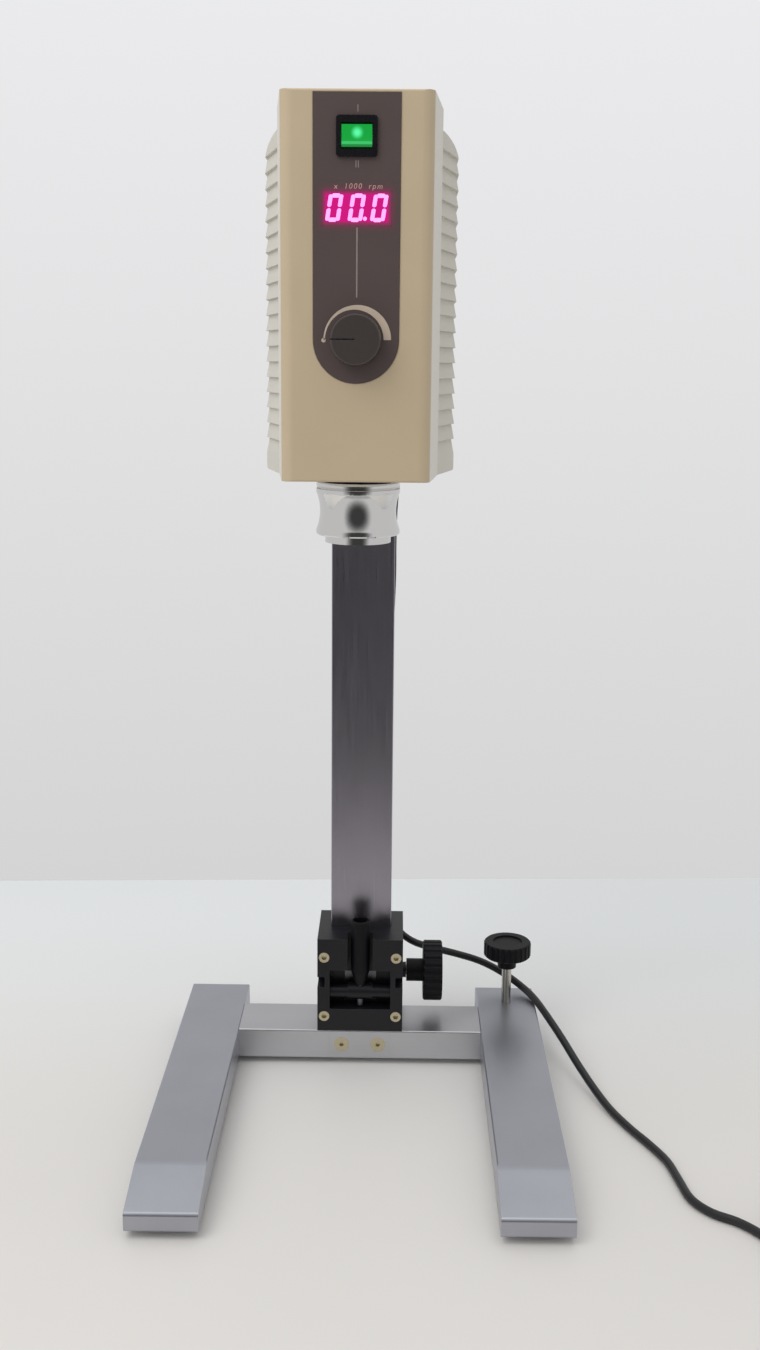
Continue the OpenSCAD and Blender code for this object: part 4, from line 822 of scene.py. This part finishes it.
@dataclass
class ControlFace:
    """What is printed on and shown through the control film, in front of the film's face, and the painted
    shade in the knob's groove.

    lettering holds the type's size, its letter and word spacing and its slant.
    """

    face_y: float = -122.6
    ink: float = 0.06
    dial: tuple[float, float] = (0.8, 583.0)
    crescent: tuple[float, float, float] = (20.5, 17.75, -1.8)
    dot: tuple[float, float, float] = (-19.7, 582.6, 1.3)
    line: tuple[float, float, float, float] = (0.3, 607.8, 648.2, 0.9)
    digits: tuple[float, float, float] = (0.1, 659.5, 13.4)
    digit_size: tuple[float, float] = (8.7, 16.2)
    stroke: float = 2.4
    point: tuple[float, float, float] = (4.9, 1.9, 1.15)
    slant_deg: float = 9.0
    switch_marks: tuple[float, float] = (715.4, 684.3)
    mark: tuple[float, float] = (0.6, 4.0)
    # The strip of painted shade in the knob's groove: its length, thickness and width.
    groove_shade_size: Point = (14.2, 0.12, 0.85)
    lit_depth: float = 0.08
    multiplier_at: tuple[float, float] = (0.9, 670.3)
    lettering: tuple[float, float, float, float] = (4.4, 1.27, 2.2, 0.15)

    def bars(self, shapes: Iterable[tuple[float, float, float, float]], bm: bmesh.types.BMesh) -> None:
        """Adds upright slabs of ink, each given by its centre's X and Z, its width and its height."""
        for x, z, wide, high in shapes:
            block(bm, (x, self.face_y - self.ink / 2, z), (wide, self.ink, high))

    def sickle(self, bm: bmesh.types.BMesh) -> None:
        """Adds the widening crescent over the dial and the dot at its start."""
        outer, inner, shift = self.crescent
        rims = []
        for radius, middle in ((outer, 0.0), (inner, shift)):
            arc = []
            for i in range(49):
                angle = math.radians(i * 180 / 48)
                x = self.dial[0] + middle + radius * math.cos(angle)
                z = self.dial[1] + radius * math.sin(angle)
                arc.append(bm.verts.new((x, self.face_y - self.ink, z)))
            rims.append([bm.edges.new(pair) for pair in zip(arc, arc[1:])])
        bmesh.ops.bridge_loops(bm, edges=rims[0] + rims[1])
        x, z, radius = self.dot
        bmesh.ops.create_circle(bm, cap_ends=True, segments=32, radius=radius,
                                matrix=Matrix.Translation((x, self.face_y - self.ink, z)) @ UPRIGHT)
        raised = bmesh.ops.extrude_face_region(bm, geom=list(bm.faces))
        bmesh.ops.translate(bm, vec=(0, self.ink, 0), verts=verts_in(raised["geom"]))

    def print_marks(self) -> None:
        """Prints the dial's crescent, the line up to the readout and the switch's marks."""
        bm = bmesh.new()
        self.sickle(bm)
        dial = piece_from(bm, "dial_scale", PALE_INK, "lift", 40.0)
        bm = bmesh.new()
        x, low, high, wide = self.line
        upper, lower = self.switch_marks
        thin, tall = self.mark
        strokes = [(across, z, thin, tall) for across, z in ((0.5, upper), (-0.5, lower), (0.9, lower))]
        self.bars([(x, (low + high) / 2, wide, high - low), *strokes], bm)
        marks = piece_from(bm, "panel_marks", DIM_INK, "lift", 40.0)

    def multiplier(self) -> None:
        """Sets the readout's multiplier over it."""
        curve = bpy.data.curves.new("multiplier", "FONT")
        curve.body = "x 1000 rpm"
        curve.size, curve.space_character, curve.space_word, curve.shear = self.lettering
        curve.extrude = self.ink
        curve.align_x = "CENTER"
        text = bpy.data.objects.new("text", curve)
        bpy.context.scene.collection.objects.link(text)
        mesh = bpy.data.meshes.new_from_object(text.evaluated_get(bpy.context.evaluated_depsgraph_get()))
        bpy.data.objects.remove(text)
        bm = bmesh.new()
        bm.from_mesh(mesh)
        bpy.data.meshes.remove(mesh)
        x, z = self.multiplier_at
        place = Matrix.Translation((x, 0, z)) @ facing_front(self.face_y - self.ink / 2)
        bmesh.ops.transform(bm, matrix=place, verts=bm.verts)
        piece = piece_from(bm, "readout_multiplier", PINK_INK, "lift", 40.0)

    def readout(self) -> None:
        """Builds the lit digits, a zero of six segments three times, and the decimal point."""
        centre_x, centre_z, pitch = self.digits
        wide, high = self.digit_size
        bm = bmesh.new()
        half = self.stroke / 2
        for place in (-1, 0, 1):
            x = centre_x + place * pitch
            left, right = x - wide / 2 + half, x + wide / 2 - half
            upright = high / 2 - self.stroke * 0.45
            segments = [(x, centre_z + high / 2 - half, wide - 2.0 * self.stroke + 1.0, self.stroke),
                        (x, centre_z - high / 2 + half, wide - 2.0 * self.stroke + 1.0, self.stroke)]
            for side in (left, right):
                for sign in (-1, 1):
                    segments.append((side, centre_z + sign * (high / 4 - 0.1), self.stroke, upright))
            for sx, sz, sw, sh in segments:
                corners = cube(bm, (sx, self.face_y - self.lit_depth / 2, sz), (sw, self.lit_depth, sh))
                upright_edges = [e for e in {e for v in corners for e in v.link_edges}
                                 if abs(e.verts[0].co.y - e.verts[1].co.y) > 0.05]
                rounded(bm, upright_edges, self.stroke * 0.42, 3)
        for vert in bm.verts:
            vert.co.x += (vert.co.z - centre_z) * math.tan(math.radians(self.slant_deg))
        aside, up, radius = self.point
        low = centre_z - high / 2
        point = Matrix.Translation((centre_x + aside, self.face_y - self.lit_depth / 2, low + up))
        bmesh.ops.create_cone(bm, cap_ends=True, segments=24, radius1=radius, radius2=radius,
                              depth=self.lit_depth, matrix=point @ UPRIGHT)
        piece = piece_from(bm, "readout_digits", SEGMENT_LIGHT, "lift", 40.0)

    def paint_groove_shade(self) -> None:
        """Lays a dark strip into the knob's groove as painted shade."""
        low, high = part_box("speed_knob")
        bm = bmesh.new()
        long, thick, wide = self.groove_shade_size
        centre = (low[0] * 1000 + 0.4 + long / 2, low[1] * 1000 + 0.5 - thick / 2, (low[2] + high[2]) * 500)
        block(bm, centre, (long, thick, wide), 0.03, 2)
        piece_from(bm, "knob_groove_painted_shade", SWITCH_BLACK, "speed_dial")

    def build(self) -> None:
        """Makes everything on the control face."""
        self.paint_groove_shade()
        self.print_marks()
        self.multiplier()
        self.readout()


# ---- Collar ----


@dataclass
class CollarLip:
    """The turned lip on top of the coupling nut, which leaves only a thin dark gap under the head."""

    low: float = 488.8
    high: float = 492.6
    bore: float = 23.4
    inset: float = 0.15

    def build(self) -> None:
        """Turns the lip about the nut's axis."""
        start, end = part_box("coupling_nut")
        axis_x, axis_y = ((start[i] + end[i]) * 500 for i in (0, 1))
        radius = (end[0] - start[0]) * 500 - self.inset
        bm = bmesh.new()
        profile = [(self.bore, self.low), (radius - 0.8, self.low), (radius, self.low + 0.8),
                   (radius, self.high - 1.0), (radius - 0.3, self.high - 0.3), (radius - 1.0, self.high),
                   (self.bore + 0.4, self.high), (self.bore, self.high - 0.4), (self.bore, self.low)]
        turn(bm, profile, Matrix.Translation((axis_x, axis_y, 0)), 96)
        piece_from(bm, "collar_lip", CHROME, "coupling", 40.0)


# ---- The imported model's own parts ----


@dataclass
class Dressing:
    """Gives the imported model's own solids their finishes and smooth shading."""

    crease_deg: float = 32.0
    fine_creases: dict[str, float] = field(
        default_factory=lambda: {"rear_housing": 13.0, "front_cover": 20.0}
    )
    finishes: dict[str, Finish] = field(default_factory=lambda: NODE_FINISHES)

    def smooth(self, node: bpy.types.Object) -> None:
        """Merges the loose triangles by a modifier, keeps edges sharp and evens the flat sides' shading."""
        node.data.shade_smooth()
        weld = node.modifiers.new("merge", "WELD")
        weld.merge_threshold = 1e-6
        crease = node.modifiers.new("crease", "EDGE_SPLIT")
        crease.split_angle = math.radians(self.fine_creases.get(node.name, self.crease_deg))
        crease.use_edge_sharp = False
        even = node.modifiers.new("even", "WEIGHTED_NORMAL")
        even.keep_sharp = True

    def dress(self, node: bpy.types.Object, finish: Finish) -> None:
        """Puts the finish on a node's material slots."""
        if not node.material_slots:
            node.data.materials.append(finish.material())
        for slot in node.material_slots:
            slot.material = finish.material()
        self.smooth(node)

    def build(self, nodes: dict[str, bpy.types.Object]) -> None:
        """Dresses every node that has a finish and reports those that have none."""
        for name, node in nodes.items():
            finish = self.finishes.get(name)
            if finish:
                self.dress(node, finish)
                LOG.info("%s: %s", name, finish.name)
            else:
                LOG.info("%s: no finish of its own", name)


# ---- Studio ----


@dataclass
class Studio:
    """A pale bench top before a pale wall, lit softly from the left, from above and from the front.

    Each lamp has its name, watts, size, place, aim and whether polished metal shows it.
    """

    half_width: float = 2200.0
    front_y: float = -480.0
    rear: tuple[float, float, float] = (11.0, 517.0, 0.04696)
    thickness: float = 30.0
    wall_tones: tuple[str, str] = ("#d4d4d4", "#ececee")
    wall_deg: tuple[float, float] = (-20.0, 15.0)
    lamps: tuple[tuple[str, float, float, Point, Point, bool], ...] = (
        ("key_light", 10.0, 1.2, (-0.9, -0.9, 1.7), (0.0, 0.0, 0.3), False),
        ("ceiling_light", 10.0, 2.0, (0.0, 0.0, 2.2), (0.0, 0.0, 0.0), True),
        ("front_fill", 3.0, 1.5, (-0.7, -2.1, 1.0), (0.0, -0.1, 0.55), False),
    )
    opening: str = "#404040"
    panel: str = "#d0d0d0"
    opening_edge: tuple[float, float] = (-0.97, -0.70)
    diffuse_tone: str = "#c0c0c0"
    floor_beyond: str = "#a8a8a8"
    ceiling: str = "#d0d0d0"
    levels: tuple[tuple[float, float], ...] = ((-0.70, -0.60), (0.55, 0.80))

    def rear_y(self, x: float) -> float:
        """Returns where the bench top meets the wall at an X."""
        x0, y0, slope = self.rear
        return y0 + slope * (x - x0)

    def bench(self) -> bpy.types.Object:
        """Makes the bench top, with its rear edge along the wall."""
        bm = bmesh.new()
        for vert in cube(bm, (0, 0, -self.thickness / 2), (2 * self.half_width, 2.0, self.thickness)):
            vert.co.y = self.front_y if vert.co.y < 0 else self.rear_y(vert.co.x)
        # Painted light: the bench top is paler and cooler towards the wall, where more light falls on it.
        top = FrontToRearTone("melamine_bench_top_painted_wall_light", "#ece9e5", 0.5, rear="#f4f7f8", front_y_mm=-100.0,
                      rear_y_mm=430.0, grain_mm=1.5, grain_depth_mm=0.01, edge_mm=1.0, drift=0.01,
                      drift_mm=200.0)
        piece = piece_from(bm, "bench_top", top, None)
        return piece

    def area(self, name: str, watts: float, size: float, place: Point, aim: Point) -> bpy.types.Object:
        """Hangs a square area light, sized and placed in metres."""
        light = bpy.data.lights.new(name, "AREA")
        light.energy = watts
        light.shape = "SQUARE"
        light.size = size
        lamp = bpy.data.objects.new(name, light)
        lamp.location = place
        lamp.rotation_euler = (Vector(aim) - Vector(place)).to_track_quat("-Z", "Y").to_euler()
        bpy.context.scene.collection.objects.link(lamp)
        return lamp

    def surroundings(self) -> None:
        """Paints the plain wall, and for reflections a neutral pale studio with a dark opening before it."""
        world = bpy.data.worlds.new("room")
        bpy.context.scene.world = world
        world.use_nodes = True
        tree = world.node_tree
        tree.nodes.clear()
        way = add_node(tree, "ShaderNodeSeparateXYZ", None,
                       {0: add_node(tree, "ShaderNodeTexCoord").outputs["Generated"]})
        height = way.outputs["Z"]
        low, high = (math.sin(math.radians(angle)) for angle in self.wall_deg)
        climb = add_node(tree, "ShaderNodeMapRange", {"From Min": low, "From Max": high}, {"Value": height})
        below, above = (linear(tone) for tone in self.wall_tones)
        wall = add_node(tree, "ShaderNodeMixRGB", {1: below, 2: above},
                        {0: climb.outputs["Result"]}).outputs["Color"]
        start, end = self.opening_edge
        share = add_node(tree, "ShaderNodeMapRange",
                         {"interpolation_type": "SMOOTHSTEP", "From Min": start, "From Max": end},
                         {"Value": way.outputs["Y"]}).outputs["Result"]
        room = add_node(tree, "ShaderNodeMixRGB", {1: linear(self.opening), 2: linear(self.panel)},
                        {0: share}).outputs["Color"]
        rises = [add_node(tree, "ShaderNodeMapRange",
                          {"interpolation_type": "SMOOTHSTEP", "From Min": low, "From Max": high},
                          {"Value": height}).outputs["Result"] for low, high in self.levels]
        room = add_node(tree, "ShaderNodeMixRGB", {1: linear(self.floor_beyond)},
                        {0: rises[0], 2: room}).outputs["Color"]
        room = add_node(tree, "ShaderNodeMixRGB", {2: linear(self.ceiling)},
                        {0: rises[1], 1: room}).outputs["Color"]
        path = add_node(tree, "ShaderNodeLightPath")
        spread = add_node(tree, "ShaderNodeMixRGB", {2: linear(self.diffuse_tone)},
                          {0: path.outputs["Is Diffuse Ray"], 1: room}).outputs["Color"]
        shown = add_node(tree, "ShaderNodeMixRGB", None,
                         {0: path.outputs["Is Camera Ray"], 1: spread, 2: wall})
        light = add_node(tree, "ShaderNodeBackground", {"Strength": 1.0}, {"Color": shown.outputs["Color"]})
        add_node(tree, "ShaderNodeOutputWorld", None, {"Surface": light.outputs["Background"]})

    def build(self) -> None:
        """Sets up the bench, the room and the lights."""
        bpy.context.scene.view_settings.view_transform = "Standard"
        self.surroundings()
        self.bench()
        for name, watts, size, place, aim, mirrored in self.lamps:
            self.area(name, watts, size, place, aim).visible_glossy = mirrored


@dataclass
class Viewpoint:
    """The camera: in front of the object, a little right of it, looking slightly down."""

    place: Point = (25.979, -1012.584, 569.009)
    yaw: float = -0.01077
    pitch: float = 0.21438
    roll: float = 0.00888
    focal_px: float = 1429.88
    image_height_px: float = 1350.0

    def build(self) -> None:
        """Makes the camera the scene's own."""
        ahead = math.cos(self.pitch)
        forward = Vector((math.sin(self.yaw) * ahead, math.cos(self.yaw) * ahead, -math.sin(self.pitch)))
        level = Vector((math.cos(self.yaw), -math.sin(self.yaw), 0.0))
        over = level.cross(forward)
        right = level * math.cos(self.roll) + over * math.sin(self.roll)
        up = over * math.cos(self.roll) - level * math.sin(self.roll)
        data = bpy.data.cameras.new("camera")
        data.sensor_width = 36.0
        data.lens = data.sensor_width * self.focal_px / self.image_height_px
        data.clip_start = 0.05
        camera = bpy.data.objects.new("camera", data)
        facing = Matrix((right, up, -forward)).transposed().to_4x4()
        camera.matrix_world = Matrix.Translation(mm(*self.place)) @ facing
        bpy.context.scene.collection.objects.link(camera)
        bpy.context.scene.camera = camera


def main() -> None:
    """Builds the camera and the lead first, then the head's face, the finishes and the studio."""
    logging.basicConfig(level=logging.INFO, format="%(message)s")
    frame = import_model()
    Viewpoint().build()
    MainsLead().build()
    ControlFace().build()
    CollarLip().build()
    Dressing().build(frame["nodes"])
    Studio().build()


if __name__ == "__main__":
    main()
